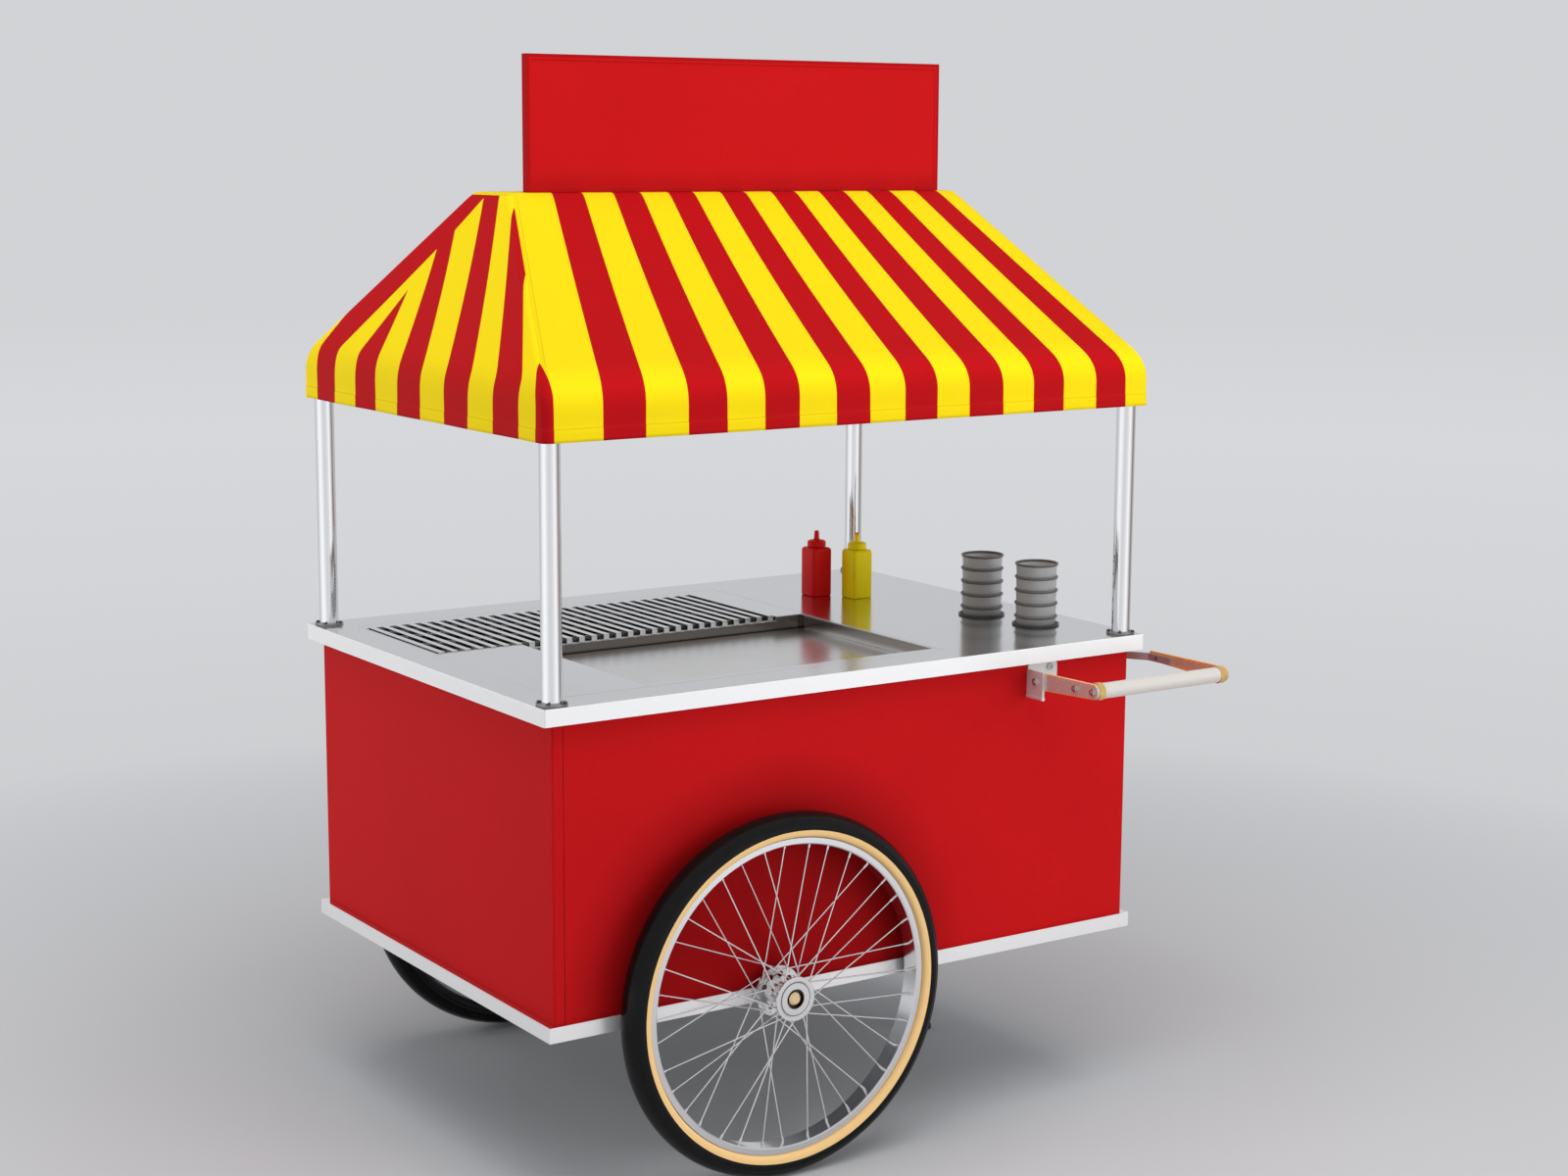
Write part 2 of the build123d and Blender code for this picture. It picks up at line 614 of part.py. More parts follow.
# Cap nuts on the axle's ends
nut_r = 13.0
nut_in = bearing_out + part_gap
with BuildPart() as axle_nuts:
    for side in (-1, 1):
        with BuildSketch(wheel_plane(side)):
            with BuildLine():
                Polyline((nut_in, axle_r + fit_gap), (nut_in, nut_r), (nut_end - 4, nut_r), (nut_end, nut_r - 5))
                Polyline((nut_end, nut_r - 5), (nut_end, 0), (31.5, 0), (31.5, axle_r + fit_gap))
                Line((31.5, axle_r + fit_gap), (nut_in, axle_r + fit_gap))
            make_face()
        revolve(axis=wheel_axis(side))
axle_nuts.part.label = "axle_nuts"
export_step(axle_nuts.part, "parts/axle_nuts.step")

# Wheel sizes
rim_half = tyre_w / 2 - 9.2
rim_edge_r = wheel_r - 44.0
rim_seat_r = rim_edge_r - 9.0
rim_inner_r = rim_edge_r - 12.0
casing_t = 3.7
tyre_half = tyre_w / 2
tyre_mid_r = wheel_r - tyre_half
bead_half = rim_half - 2.8
bead_r = rim_seat_r + 3.0
neck_r = rim_edge_r + 1.0
hub_mid = hub_half - 2.0
hub_flange_t = 3.0
outer_flange_r = 33.0
inner_flange_r = 46.0
cap_r = 40.0
cap_in = hub_half + 4.4
cap_out = hub_half + 8.4
outer_hole_r = 29.0
inner_hole_r = 41.0
spoke_r = 1.05
hook_r = 1.25
nipple_r = 2.2
spoke_lead = 60.0
spoke_offset = hub_flange_t / 2 + hook_r + 1.1
head_r = 2.3
head_t = 1.2


def lacing(side, flange):
    hole_r = outer_hole_r if flange > 0 else inner_hole_r
    rows = []
    for count in range(2 * spoke_pairs):
        lead = 1 if count % 2 == 0 else -1
        rim_angle = count * 180.0 / spoke_pairs + (0.0 if flange > 0 else 90.0 / spoke_pairs)
        hub_angle = rim_angle + lead * spoke_lead
        start = wheel_point(side, flange * hub_mid + lead * spoke_offset, hole_r, hub_angle)
        end = wheel_point(side, flange * 2.9 + lead * 1.3, rim_inner_r, rim_angle)
        hook = wheel_point(side, flange * hub_mid + lead * (spoke_offset + hook_r), hole_r, hub_angle)
        back = wheel_point(side, flange * hub_mid - lead * (hub_flange_t / 2 + 0.1), hole_r, hub_angle)
        rows.append((start, end, hook, back))
    return rows


def along(start, end):
    return Plane(origin=start, z_dir=(end - start).normalized()).location


grow = (Align.CENTER, Align.CENTER, Align.MIN)
for wheel_name, side in (("front", -1), ("rear", 1)):
    # Tyre: hollow casing with two beads
    with BuildPart() as tyre:
        with BuildSketch(wheel_plane(side)):
            with BuildLine():
                for flank in (-1, 1):
                    Polyline((flank * (bead_half - casing_t), bead_r), (flank * bead_half, bead_r),
                             (flank * bead_half, neck_r))
                    ThreePointArc((flank * bead_half, neck_r), (flank * (tyre_half - 3.5), tyre_mid_r - 11),
                                  (flank * tyre_half, tyre_mid_r))
                    ThreePointArc((flank * tyre_half, tyre_mid_r),
                                  (flank * tyre_half * 0.7071, tyre_mid_r + tyre_half * 0.7071), (0, wheel_r))
                    Line((flank * (bead_half - casing_t), bead_r), (flank * (bead_half - casing_t), neck_r + 1.5))
                    ThreePointArc((flank * (bead_half - casing_t), neck_r + 1.5),
                                  (flank * (tyre_half - casing_t - 3.5), tyre_mid_r - 9.5),
                                  (flank * (tyre_half - casing_t), tyre_mid_r))
                    ThreePointArc((flank * (tyre_half - casing_t), tyre_mid_r),
                                  (flank * (tyre_half - casing_t) * 0.7071,
                                   tyre_mid_r + (tyre_half - casing_t) * 0.7071),
                                  (0, wheel_r - casing_t))
            make_face()
        revolve(axis=wheel_axis(side))
    tyre.part.label = wheel_name + "_tyre"
    export_step(tyre.part, "parts/" + wheel_name + "_tyre.step")

    # Rim: deep hoop with a lip at each side, drilled for the spokes' nipples
    with BuildPart() as rim:
        with BuildSketch(wheel_plane(side)):
            with BuildLine():
                Polyline((-rim_half, rim_edge_r), (-rim_half + 2.4, rim_edge_r), (-rim_half + 2.4, rim_seat_r),
                         (rim_half - 2.4, rim_seat_r), (rim_half - 2.4, rim_edge_r), (rim_half, rim_edge_r),
                         (rim_half, rim_inner_r + 2), (rim_half - 2, rim_inner_r), (2 - rim_half, rim_inner_r),
                         (-rim_half, rim_inner_r + 2), close=True)
            make_face()
        revolve(axis=wheel_axis(side))
        for flange in (-1, 1):
            with Locations(*[along(end, end + (end - start)) for start, end, hook, back in lacing(side, flange)]):
                Cylinder(nipple_r + 0.2, 24, mode=Mode.SUBTRACT)
    rim.part.label = wheel_name + "_rim"
    export_step(rim.part, "parts/" + wheel_name + "_rim.step")

    # Spokes: tangent lacing, each spoke hooked through its flange and ending in a nipple
    with BuildPart() as spokes:
        for flange in (-1, 1):
            rows = lacing(side, flange)
            reach = (rows[0][1] - rows[0][0]).length
            with Locations(*[along(start, end) for start, end, hook, back in rows[0::2]]):
                Cylinder(spoke_r, reach, align=grow)
            reach = (rows[1][1] - rows[1][0]).length
            with Locations(*[along(start, end) for start, end, hook, back in rows[1::2]]):
                Cylinder(spoke_r, reach, align=grow)
            with Locations(*[along(end, end + (end - start)) for start, end, hook, back in rows]):
                Cylinder(nipple_r, 18)
            reach = (rows[0][3] - rows[0][2]).length + head_t / 2
            with Locations(*[along(hook, back) for start, end, hook, back in rows]):
                Cylinder(hook_r, reach, align=grow)
            with Locations(*[along(back, back + (back - hook)) for start, end, hook, back in rows]):
                Cylinder(head_r, head_t, align=grow)
    spokes.part.label = wheel_name + "_spokes"
    export_step(spokes.part, "parts/" + wheel_name + "_spokes.step")

    # Hub shell: two drilled flanges on a barrel bored for the bearings, and a turned cap ring outside
    with BuildPart() as hub:
        with BuildSketch(wheel_plane(side)):
            with BuildLine():
                Polyline((-hub_half, bearing_r), (-hub_half, 22), (-hub_mid - hub_flange_t / 2, 22),
                         (-hub_mid - hub_flange_t / 2, inner_flange_r), (-hub_mid + hub_flange_t / 2, inner_flange_r),
                         (-hub_mid + hub_flange_t / 2, 20), (hub_mid - hub_flange_t / 2, 20),
                         (hub_mid - hub_flange_t / 2, outer_flange_r), (hub_mid + hub_flange_t / 2, outer_flange_r),
                         (hub_mid + hub_flange_t / 2, 25), (cap_in, 25), (cap_in, cap_r - 1), (cap_in + 1, cap_r),
                         (cap_out - 0.6, cap_r), (cap_out, cap_r - 0.6), (cap_out, cap_r - 7),
                         (cap_out - 0.8, cap_r - 7.8), (cap_out - 0.8, cap_r - 9.8), (cap_out, cap_r - 10.6),
                         (cap_out, bearing_r + 1), (cap_out - 1, bearing_r),
                         (bearing_in - fit_gap, bearing_r), (bearing_in - fit_gap, 13.5),
                         (-bearing_in + fit_gap, 13.5), (-bearing_in + fit_gap, bearing_r), close=True)
            make_face()
        revolve(axis=wheel_axis(side))
        for flange in (-1, 1):
            with Locations(*[along(back, hook) for start, end, hook, back in lacing(side, flange)]):
                Cylinder(hook_r + 0.15, 12, mode=Mode.SUBTRACT)
        relief = [wheel_point(side, -hub_mid, 30.5, turn * 40.0) for turn in range(9)]
        with Locations(*[along(spot, spot + Vector(0, 1, 0)) for spot in relief]):
            Cylinder(5.5, 8, mode=Mode.SUBTRACT)
    hub.part.label = wheel_name + "_hub"
    export_step(hub.part, "parts/" + wheel_name + "_hub.step")

    # Two ball bearings per hub, each as one ring with shields
    with BuildPart() as bearings:
        for seat in (-1, 1):
            with BuildSketch(wheel_plane(side)):
                with Locations((seat * (bearing_in + bearing_w / 2), (axle_r + bearing_r) / 2)):
                    Rectangle(bearing_w, bearing_r - axle_r - fit_gap - running_gap)
            revolve(axis=wheel_axis(side))
    bearings.part.label = wheel_name + "_bearings"
    export_step(bearings.part, "parts/" + wheel_name + "_bearings.step")

# Near handle bracket: rounded plate on the front panel and an ear outside the arm with a rolled lower edge
ear_t = 5.0
plate_t = 4.0
plate_w = 64.0
plate_h = 65.0
near_plate_h = 50.0
near_ear_x = near_arm_x - ear_t
near_bolt_y = front_y - 25.0
bracket_low = bracket_z - plate_h / 2
with BuildPart() as handle_bracket_front:
    with BuildSketch(facing(front_y)):
        with Locations((near_ear_x + (plate_w + ear_t) / 2, bracket_z + (plate_h - near_plate_h) / 2)):
            RectangleRounded(plate_w + ear_t, near_plate_h, 8)
    extrude(amount=plate_t)
    block(near_ear_x, near_ear_x + 12, front_y - plate_t, front_y, bracket_low + 4, bracket_z)
    block(near_ear_x, near_arm_x, front_y - 46, front_y - plate_t, bracket_low + 4, near_root_z + 20)
    rod_y(near_ear_x + ear_t / 2, bracket_low + 4, 4, front_y - 46, front_y)
    for dz in near_bolt_dz:
        rod_y(near_plate_x, bracket_z + dz, bolt_r + fit_gap, front_y - 10, front_y, mode=Mode.SUBTRACT)
    rod_x(near_bolt_y, near_root_z, bolt_r + fit_gap, near_ear_x, near_arm_x, mode=Mode.SUBTRACT)
handle_bracket_front.part.label = "handle_bracket_front"
export_step(handle_bracket_front.part, "parts/handle_bracket_front.step")

# Far handle bracket: plate on the right end panel and a bent strap that laps the arm's inner face
far_bolt_y = far_arm_end_y - 22.0
strap_h = 14.0
strap_z = arm_z + 1.0
with BuildPart() as handle_bracket_end:
    block(end_x, end_x + plate_t, far_plate_y - 40, far_plate_y + 24, bracket_z - plate_h / 2, bracket_z + plate_h / 2)
    with BuildSketch(level(strap_z - strap_h / 2)):
        with BuildLine():
            Polyline((far_arm_x, far_bolt_y - 40), (far_arm_x, far_arm_end_y + 1), (end_x + plate_t, far_plate_y - 28),
                     (end_x, far_plate_y - 28), (end_x, far_plate_y - 38), (far_arm_x - ear_t, far_arm_end_y - 1),
                     (far_arm_x - ear_t, far_bolt_y - 40), close=True)
        make_face()
    extrude(amount=strap_h)
    for dz in (-plate_bolt_dz, plate_bolt_dz):
        rod_x(far_plate_y, bracket_z + dz, bolt_r + fit_gap, end_x, end_x + plate_t, mode=Mode.SUBTRACT)
    rod_x(far_bolt_y, strap_z, bolt_r + fit_gap, far_arm_x - ear_t, far_arm_x, mode=Mode.SUBTRACT)
handle_bracket_end.part.label = "handle_bracket_end"
export_step(handle_bracket_end.part, "parts/handle_bracket_end.step")

# Handle arms: tapered flat bars with a round nose, drilled for the bolts
brace_y = grip_y + 49.0
brace_z = arm_z - 1.5
near_arm_y1 = front_y - plate_t - 1.0
for arm_name, arm_x, arm_y1, root_z, root_h, root_bolt in (
    ("handle_arm_front", near_arm_x, near_arm_y1, near_root_z, near_root_h, (near_bolt_y, near_root_z)),
    ("handle_arm_end", far_arm_x, far_arm_end_y, far_root_z, far_root_h, (far_bolt_y, strap_z)),
):
    with BuildPart() as arm:
        with BuildSketch(across(arm_x)):
            with BuildLine():
                Polyline((grip_y, arm_z - nose_r), (arm_y1, root_z - root_h / 2), (arm_y1, root_z + root_h / 2),
                         (grip_y, arm_z + nose_r), close=True)
            make_face()
            with Locations((grip_y, arm_z)):
                Circle(nose_r)
            with Locations((grip_y, arm_z), (brace_y, brace_z), root_bolt):
                Circle(bolt_r + fit_gap, mode=Mode.SUBTRACT)
        extrude(amount=arm_t)
    arm.part.label = arm_name
    export_step(arm.part, "parts/" + arm_name + ".step")

# Handle grip between the arms, with a ring at each end
grip_x0 = near_arm_x + arm_t
grip_x1 = far_arm_x
ring_w = 13.0
bolt_depth = 26.0
with BuildPart() as handle_grip:
    rod_x(grip_y, arm_z, grip_r, grip_x0, grip_x1)
    rod_x(grip_y, arm_z, bolt_r + fit_gap, grip_x0, grip_x0 + bolt_depth, mode=Mode.SUBTRACT)
    rod_x(grip_y, arm_z, bolt_r + fit_gap, grip_x1 - bolt_depth, grip_x1, mode=Mode.SUBTRACT)
handle_grip.part.label = "handle_grip"
export_step(handle_grip.part, "parts/handle_grip.step")

with BuildPart() as handle_rings:
    for ring_x in (grip_x0, grip_x1 - ring_w):
        with BuildSketch(across(ring_x)):
            with Locations((grip_y, arm_z)):
                Circle(ring_r)
                Circle(grip_r + fit_gap, mode=Mode.SUBTRACT)
        extrude(amount=ring_w)
handle_rings.part.label = "handle_rings"
export_step(handle_rings.part, "parts/handle_rings.step")

# Handle bolts: six through the arms, four through the bracket plates
with BuildPart() as handle_bolts:
    for bolt_y, bolt_z, seat_x, tip_x in ((grip_y, arm_z, near_arm_x, grip_x0 + 20),
                                          (brace_y, brace_z, near_arm_x, grip_x0 + 8),
                                          (near_bolt_y, near_root_z, near_ear_x, grip_x0 + 8)):
        rod_x(bolt_y, bolt_z, bolt_head_r, seat_x - bolt_head_t, seat_x)
        rod_x(bolt_y, bolt_z, bolt_r, seat_x, tip_x)
    rod_x(brace_y, brace_z, bolt_head_r, grip_x0, grip_x0 + 5)
    rod_x(near_bolt_y, near_root_z, bolt_head_r, grip_x0, grip_x0 + 5)
    head_x = far_arm_x + arm_t
    for bolt_y, bolt_z, tip_x in ((grip_y, arm_z, grip_x1 - 20), (brace_y, brace_z, grip_x1 - 8),
                                  (far_bolt_y, strap_z, far_arm_x - ear_t - 8)):
        rod_x(bolt_y, bolt_z, bolt_head_r, head_x, head_x + bolt_head_t)
        rod_x(bolt_y, bolt_z, bolt_r, tip_x, head_x)
    rod_x(brace_y, brace_z, bolt_head_r, grip_x1 - 5, grip_x1)
    rod_x(far_bolt_y, strap_z, bolt_head_r, far_arm_x - ear_t - 5, far_arm_x - ear_t)
    face_y = front_y - plate_t
    face_x = end_x + plate_t
    for dz in near_bolt_dz:
        rod_y(near_plate_x, bracket_z + dz, bolt_head_r, face_y - bolt_head_t, face_y)
        rod_y(near_plate_x, bracket_z + dz, bolt_r, face_y, front_y + sheet + 8)
        rod_y(near_plate_x, bracket_z + dz, bolt_head_r, front_y + sheet, front_y + sheet + 5)
    for dz in (-plate_bolt_dz, plate_bolt_dz):
        rod_x(far_plate_y, bracket_z + dz, bolt_head_r, face_x, face_x + bolt_head_t)
        rod_x(far_plate_y, bracket_z + dz, bolt_r, end_x - sheet - 8, face_x)
        rod_x(far_plate_y, bracket_z + dz, bolt_head_r, end_x - sheet - 5, end_x - sheet)
handle_bolts.part.label = "handle_bolts"
export_step(handle_bolts.part, "parts/handle_bolts.step")

# Cup sleeves: a dark ring on the counter over a blind tube
sleeve_bore = 41.0
sleeve_ring_r = 45.5
sleeve_ring_t = 4.0
cup_h = 95.0
cup_pitch = 25.5
cup_count = 5
cup_top = counter_top + 122.0
sleeve_floor = cup_top - (cup_count - 1) * cup_pitch - cup_h
with BuildPart() as cup_sleeves:
    with BuildSketch(level(counter_top)):
        with Locations(*cup_spots):
            Circle(sleeve_ring_r)
    extrude(amount=sleeve_ring_t)
    with BuildSketch(level(sleeve_floor - sheet)):
        with Locations(*cup_spots):
            Circle(sleeve_r)
    extrude(amount=counter_top - sleeve_floor + sheet)
    with BuildSketch(level(sleeve_floor)):
        with Locations(*cup_spots):
            Circle(sleeve_bore)
    extrude(amount=counter_top + sleeve_ring_t - sleeve_floor, mode=Mode.SUBTRACT)
cup_sleeves.part.label = "cup_sleeves"
export_step(cup_sleeves.part, "parts/cup_sleeves.step")

# Cup stacks: five tapered cups with rolled rims nested in each sleeve
cup_r = 39.5
cup_wall = 0.8
cup_taper = 5.6
rim_r = 42.0
for stack_name, (cup_x, cup_y) in zip(("cups_left", "cups_right"), cup_spots):
    with BuildPart() as cups:
        for count in range(cup_count):
            foot_z = sleeve_floor + count * cup_pitch
            with BuildSketch(Plane(origin=(mid_x + cup_x, mid_y + cup_y, foot_z), x_dir=(1, 0, 0), z_dir=(0, -1, 0))):
                with BuildLine():
                    Polyline((0, 0), (cup_r - cup_taper, 0), (cup_r, cup_h - 4), (rim_r, cup_h - 4), (rim_r, cup_h),
                             (cup_r - cup_wall, cup_h), (cup_r - cup_wall - cup_taper, cup_wall), (0, cup_wall),
                             close=True)
                make_face()
            revolve(axis=Axis((mid_x + cup_x, mid_y + cup_y, 0), (0, 0, 1)))
    cups.part.label = stack_name
    export_step(cups.part, "parts/" + stack_name + ".step")

# Squeeze bottles: square hollow body with a neck, and a screw cap with a nozzle
bottle_s = 47.0
bottle_h = 100.0
bottle_wall = 1.6
neck_outer = 15.0
neck_top = bottle_h + 11.0
cap_r = 19.0
cap_top = bottle_h + 15.0
nozzle_top = cap_top + 19.0
for bottle_name, cap_name, bottle_x, bottle_y in (
    ("red_bottle", "red_cap", counter_l / 2 - 277.0, 227.0),
    ("yellow_bottle", "yellow_cap", counter_l / 2 - 223.0, 159.0),
):
    stand = Plane(origin=(mid_x + bottle_x, mid_y + bottle_y, counter_top), x_dir=(1, 0, 0), z_dir=(0, 0, 1))
    with BuildPart() as bottle:
        with BuildSketch(stand):
            RectangleRounded(bottle_s, bottle_s, 6)
        extrude(amount=bottle_h)
        fillet(bottle.faces().sort_by(Axis.Z)[-1].edges(), radius=4)
        with BuildSketch(stand.offset(bottle_h)):
            Circle(neck_outer)
        extrude(amount=neck_top - bottle_h)
        with BuildSketch(stand.offset(bottle_wall)):
            RectangleRounded(bottle_s - 2 * bottle_wall, bottle_s - 2 * bottle_wall, 4.4)
        extrude(amount=bottle_h - 4 - bottle_wall, mode=Mode.SUBTRACT)
        with BuildSketch(stand.offset(bottle_h / 2)):
            Circle(neck_outer - bottle_wall)
        extrude(amount=bottle_h, mode=Mode.SUBTRACT)
    bottle.part.label = bottle_name
    export_step(bottle.part, "parts/" + bottle_name + ".step")

    with BuildPart() as cap:
        with BuildSketch(Plane(origin=stand.origin, x_dir=(1, 0, 0), z_dir=(0, -1, 0))):
            with BuildLine():
                Polyline((neck_outer + 0.3, bottle_h + 0.5), (cap_r, bottle_h + 0.5), (cap_r, cap_top - 2),
                         (cap_r - 2, cap_top), (4.8, cap_top), (3.2, nozzle_top), (1.2, nozzle_top), (1.2, neck_top + 0.3),
                         (neck_outer + 0.3, neck_top + 0.3), close=True)
            make_face()
        revolve(axis=Axis(stand.origin, (0, 0, 1)))
    cap.part.label = cap_name
    export_step(cap.part, "parts/" + cap_name + ".step")

# Leg bracket: top plate, two ears, the pivot pin and a stop pin in front of the leg
lean = (foot_x - leg_pivot_x) / leg_pivot_z
stop_r = 3.0
stop_z = leg_pivot_z - 20.0
stop_x = leg_pivot_x + 20.0 * lean + leg_r + stop_r + 0.3
with BuildPart() as leg_bracket:
    plate_z = base_bottom + sheet
    block(leg_pivot_x - 34, leg_pivot_x + 34, -32, 32, plate_z - 4, plate_z)
    for sy in (-1, 1):
        with BuildSketch(facing(sy * 14 + 2)):
            with BuildLine():
                Polyline((leg_pivot_x - 20, plate_z - 4), (leg_pivot_x + 24, plate_z - 4),
                         (leg_pivot_x + 24, stop_z - 8), (leg_pivot_x - 10, stop_z - 8), close=True)
            make_face()
        extrude(amount=4)
    rod_y(leg_pivot_x, leg_pivot_z, leg_pin_r, -19, 19)
    rod_y(stop_x, stop_z, stop_r, -16, 16)
leg_bracket.part.label = "leg_bracket"
export_step(leg_bracket.part, "parts/leg_bracket.step")

# Stand leg: leaning rod with a bore for the pivot pin, and a round rubber foot
leg_over = 14.0
with BuildPart() as stand_leg:
    with BuildSketch(level(foot_t)):
        with Locations((foot_x - foot_t * lean, 0)):
            Circle(leg_r)
    with BuildSketch(level(leg_pivot_z + leg_over)):
        with Locations((leg_pivot_x - leg_over * lean, 0)):
            Circle(leg_r)
    loft(ruled=True)
    rod_y(leg_pivot_x, leg_pivot_z, leg_pin_r + running_gap, -20, 20, mode=Mode.SUBTRACT)
stand_leg.part.label = "stand_leg"
export_step(stand_leg.part, "parts/stand_leg.step")

with BuildPart() as leg_foot:
    with BuildSketch(level(0)):
        with Locations((foot_x, 0)):
            Circle(foot_r)
    extrude(amount=foot_t)
leg_foot.part.label = "leg_foot"
export_step(leg_foot.part, "parts/leg_foot.step")

# Rear door: overlay sheet with a knuckle at each hinge
door_y0 = rear_y + 0.6
door_y1 = door_y0 + sheet
hinge_x = door_x1 + 6.0
hinge_y = door_y0 + 4.5
hinge_r = 4.5
hinge_pin_r = 2.5
hinge_spots = (door_z0 + 60.0, door_z1 - 60.0)
with BuildPart() as door_panel:
    block(door_x0, door_x1, door_y0, door_y1, door_z0, door_z1)
    for hinge_z in hinge_spots:
        block(door_x1 - 1, hinge_x, door_y0, door_y1, hinge_z - 12, hinge_z + 12)
        rod_z(hinge_x, hinge_y, hinge_r, hinge_z - 12, hinge_z + 12)
        rod_z(hinge_x, hinge_y, hinge_pin_r + running_gap, hinge_z - 12, hinge_z + 12, mode=Mode.SUBTRACT)
door_panel.part.label = "door_panel"
export_step(door_panel.part, "parts/door_panel.step")

# Fixed hinge leaves on the rear panel, each with two knuckles and its pin
with BuildPart() as door_hinges:
    for hinge_z in hinge_spots:
        block(hinge_x + 6, hinge_x + 34, rear_y, rear_y + 1.6, hinge_z - 30, hinge_z + 30)
        for z0 in (hinge_z - 30, hinge_z + 12.3):
            block(hinge_x, hinge_x + 7, rear_y, rear_y + 1.6, z0, z0 + 17.7)
            rod_z(hinge_x, hinge_y, hinge_r, z0, z0 + 17.7)
        rod_z(hinge_x, hinge_y, hinge_pin_r, hinge_z - 30, hinge_z + 30)
door_hinges.part.label = "door_hinges"
export_step(door_hinges.part, "parts/door_hinges.step")

# Door pull: bow handle on two studs
pull_x = door_x0 + 28.0
pull_z = (door_z0 + door_z1) / 2
with BuildPart() as door_pull:
    rod_z(pull_x, door_y1 + 24, 5.0, pull_z - 62, pull_z + 62)
    for dz in (-48.0, 48.0):
        rod_y(pull_x, pull_z + dz, 4.5, door_y1, door_y1 + 24)
door_pull.part.label = "door_pull"
export_step(door_pull.part, "parts/door_pull.step")
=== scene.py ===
import json
from math import cos, pi, radians, sin

import bmesh
import bpy
from mathutils import Matrix, Vector

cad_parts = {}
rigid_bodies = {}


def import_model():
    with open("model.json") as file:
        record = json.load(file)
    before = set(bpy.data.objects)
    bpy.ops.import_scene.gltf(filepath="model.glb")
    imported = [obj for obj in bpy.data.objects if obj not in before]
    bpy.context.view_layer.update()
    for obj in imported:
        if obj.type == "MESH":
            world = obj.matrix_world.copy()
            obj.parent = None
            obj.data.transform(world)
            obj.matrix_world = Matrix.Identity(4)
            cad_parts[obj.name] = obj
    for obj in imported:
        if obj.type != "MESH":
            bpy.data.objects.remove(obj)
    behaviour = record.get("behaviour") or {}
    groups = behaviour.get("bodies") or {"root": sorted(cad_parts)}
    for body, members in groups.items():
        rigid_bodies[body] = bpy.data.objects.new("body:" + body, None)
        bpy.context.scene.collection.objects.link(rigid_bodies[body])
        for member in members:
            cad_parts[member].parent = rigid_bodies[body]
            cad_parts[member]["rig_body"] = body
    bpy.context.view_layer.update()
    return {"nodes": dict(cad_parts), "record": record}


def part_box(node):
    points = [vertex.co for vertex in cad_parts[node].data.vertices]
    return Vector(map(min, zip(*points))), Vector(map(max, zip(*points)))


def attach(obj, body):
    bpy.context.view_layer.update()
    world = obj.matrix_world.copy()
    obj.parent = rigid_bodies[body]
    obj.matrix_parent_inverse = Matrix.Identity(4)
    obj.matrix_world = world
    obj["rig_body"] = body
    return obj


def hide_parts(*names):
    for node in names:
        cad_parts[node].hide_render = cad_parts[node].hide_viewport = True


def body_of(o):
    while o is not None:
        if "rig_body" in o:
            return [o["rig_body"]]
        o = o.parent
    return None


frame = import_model()
nodes = frame["nodes"]
slotOf = {row["node"]: row["material_slot"] for row in frame["record"]["subparts"]}
scene = bpy.context.scene
scene.view_settings.view_transform = "Standard"
counterLow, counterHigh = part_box("countertop")
cartMid = Vector(((counterLow.x + counterHigh.x) / 2, (counterLow.y + counterHigh.y) / 2, 0))
print("frame loaded:", len(nodes), "nodes")


def at(x, y, z):  # millimetres from the cart's middle to metres in the frame
    return cartMid + Vector((x, y, z)) / 1000


def span(node):  # a node's corners in millimetres from the cart's middle
    return [(corner - cartMid) * 1000 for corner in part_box(node)]


# camera

view = {"place": (-2693.05, -4224.76, 1805.09), "turn": -0.5908, "tilt": 0.1653, "roll": 0.0056,
        "lens": 60.873, "sensor": 36, "reach": 200}


def buildCamera():
    turn, tilt, roll = view["turn"], view["tilt"], view["roll"]
    backward = Vector((sin(turn) * cos(tilt), -cos(turn) * cos(tilt), sin(tilt)))
    level = Vector((cos(turn), sin(turn), 0))
    upward = backward.cross(level)
    sideways = cos(roll) * level + sin(roll) * upward
    upright = cos(roll) * upward - sin(roll) * level
    lens = bpy.data.cameras.new("photoCamera")
    lens.lens, lens.sensor_width, lens.sensor_fit = view["lens"], view["sensor"], "HORIZONTAL"
    lens.clip_end = view["reach"]
    camera = bpy.data.objects.new("photoCamera", lens)
    pose = Matrix((sideways, upright, backward)).transposed().to_4x4()
    pose.translation = at(*view["place"])
    camera.matrix_world = pose
    scene.collection.objects.link(camera)
    scene.camera = camera


buildCamera()
print("camera ready")


# shader kit

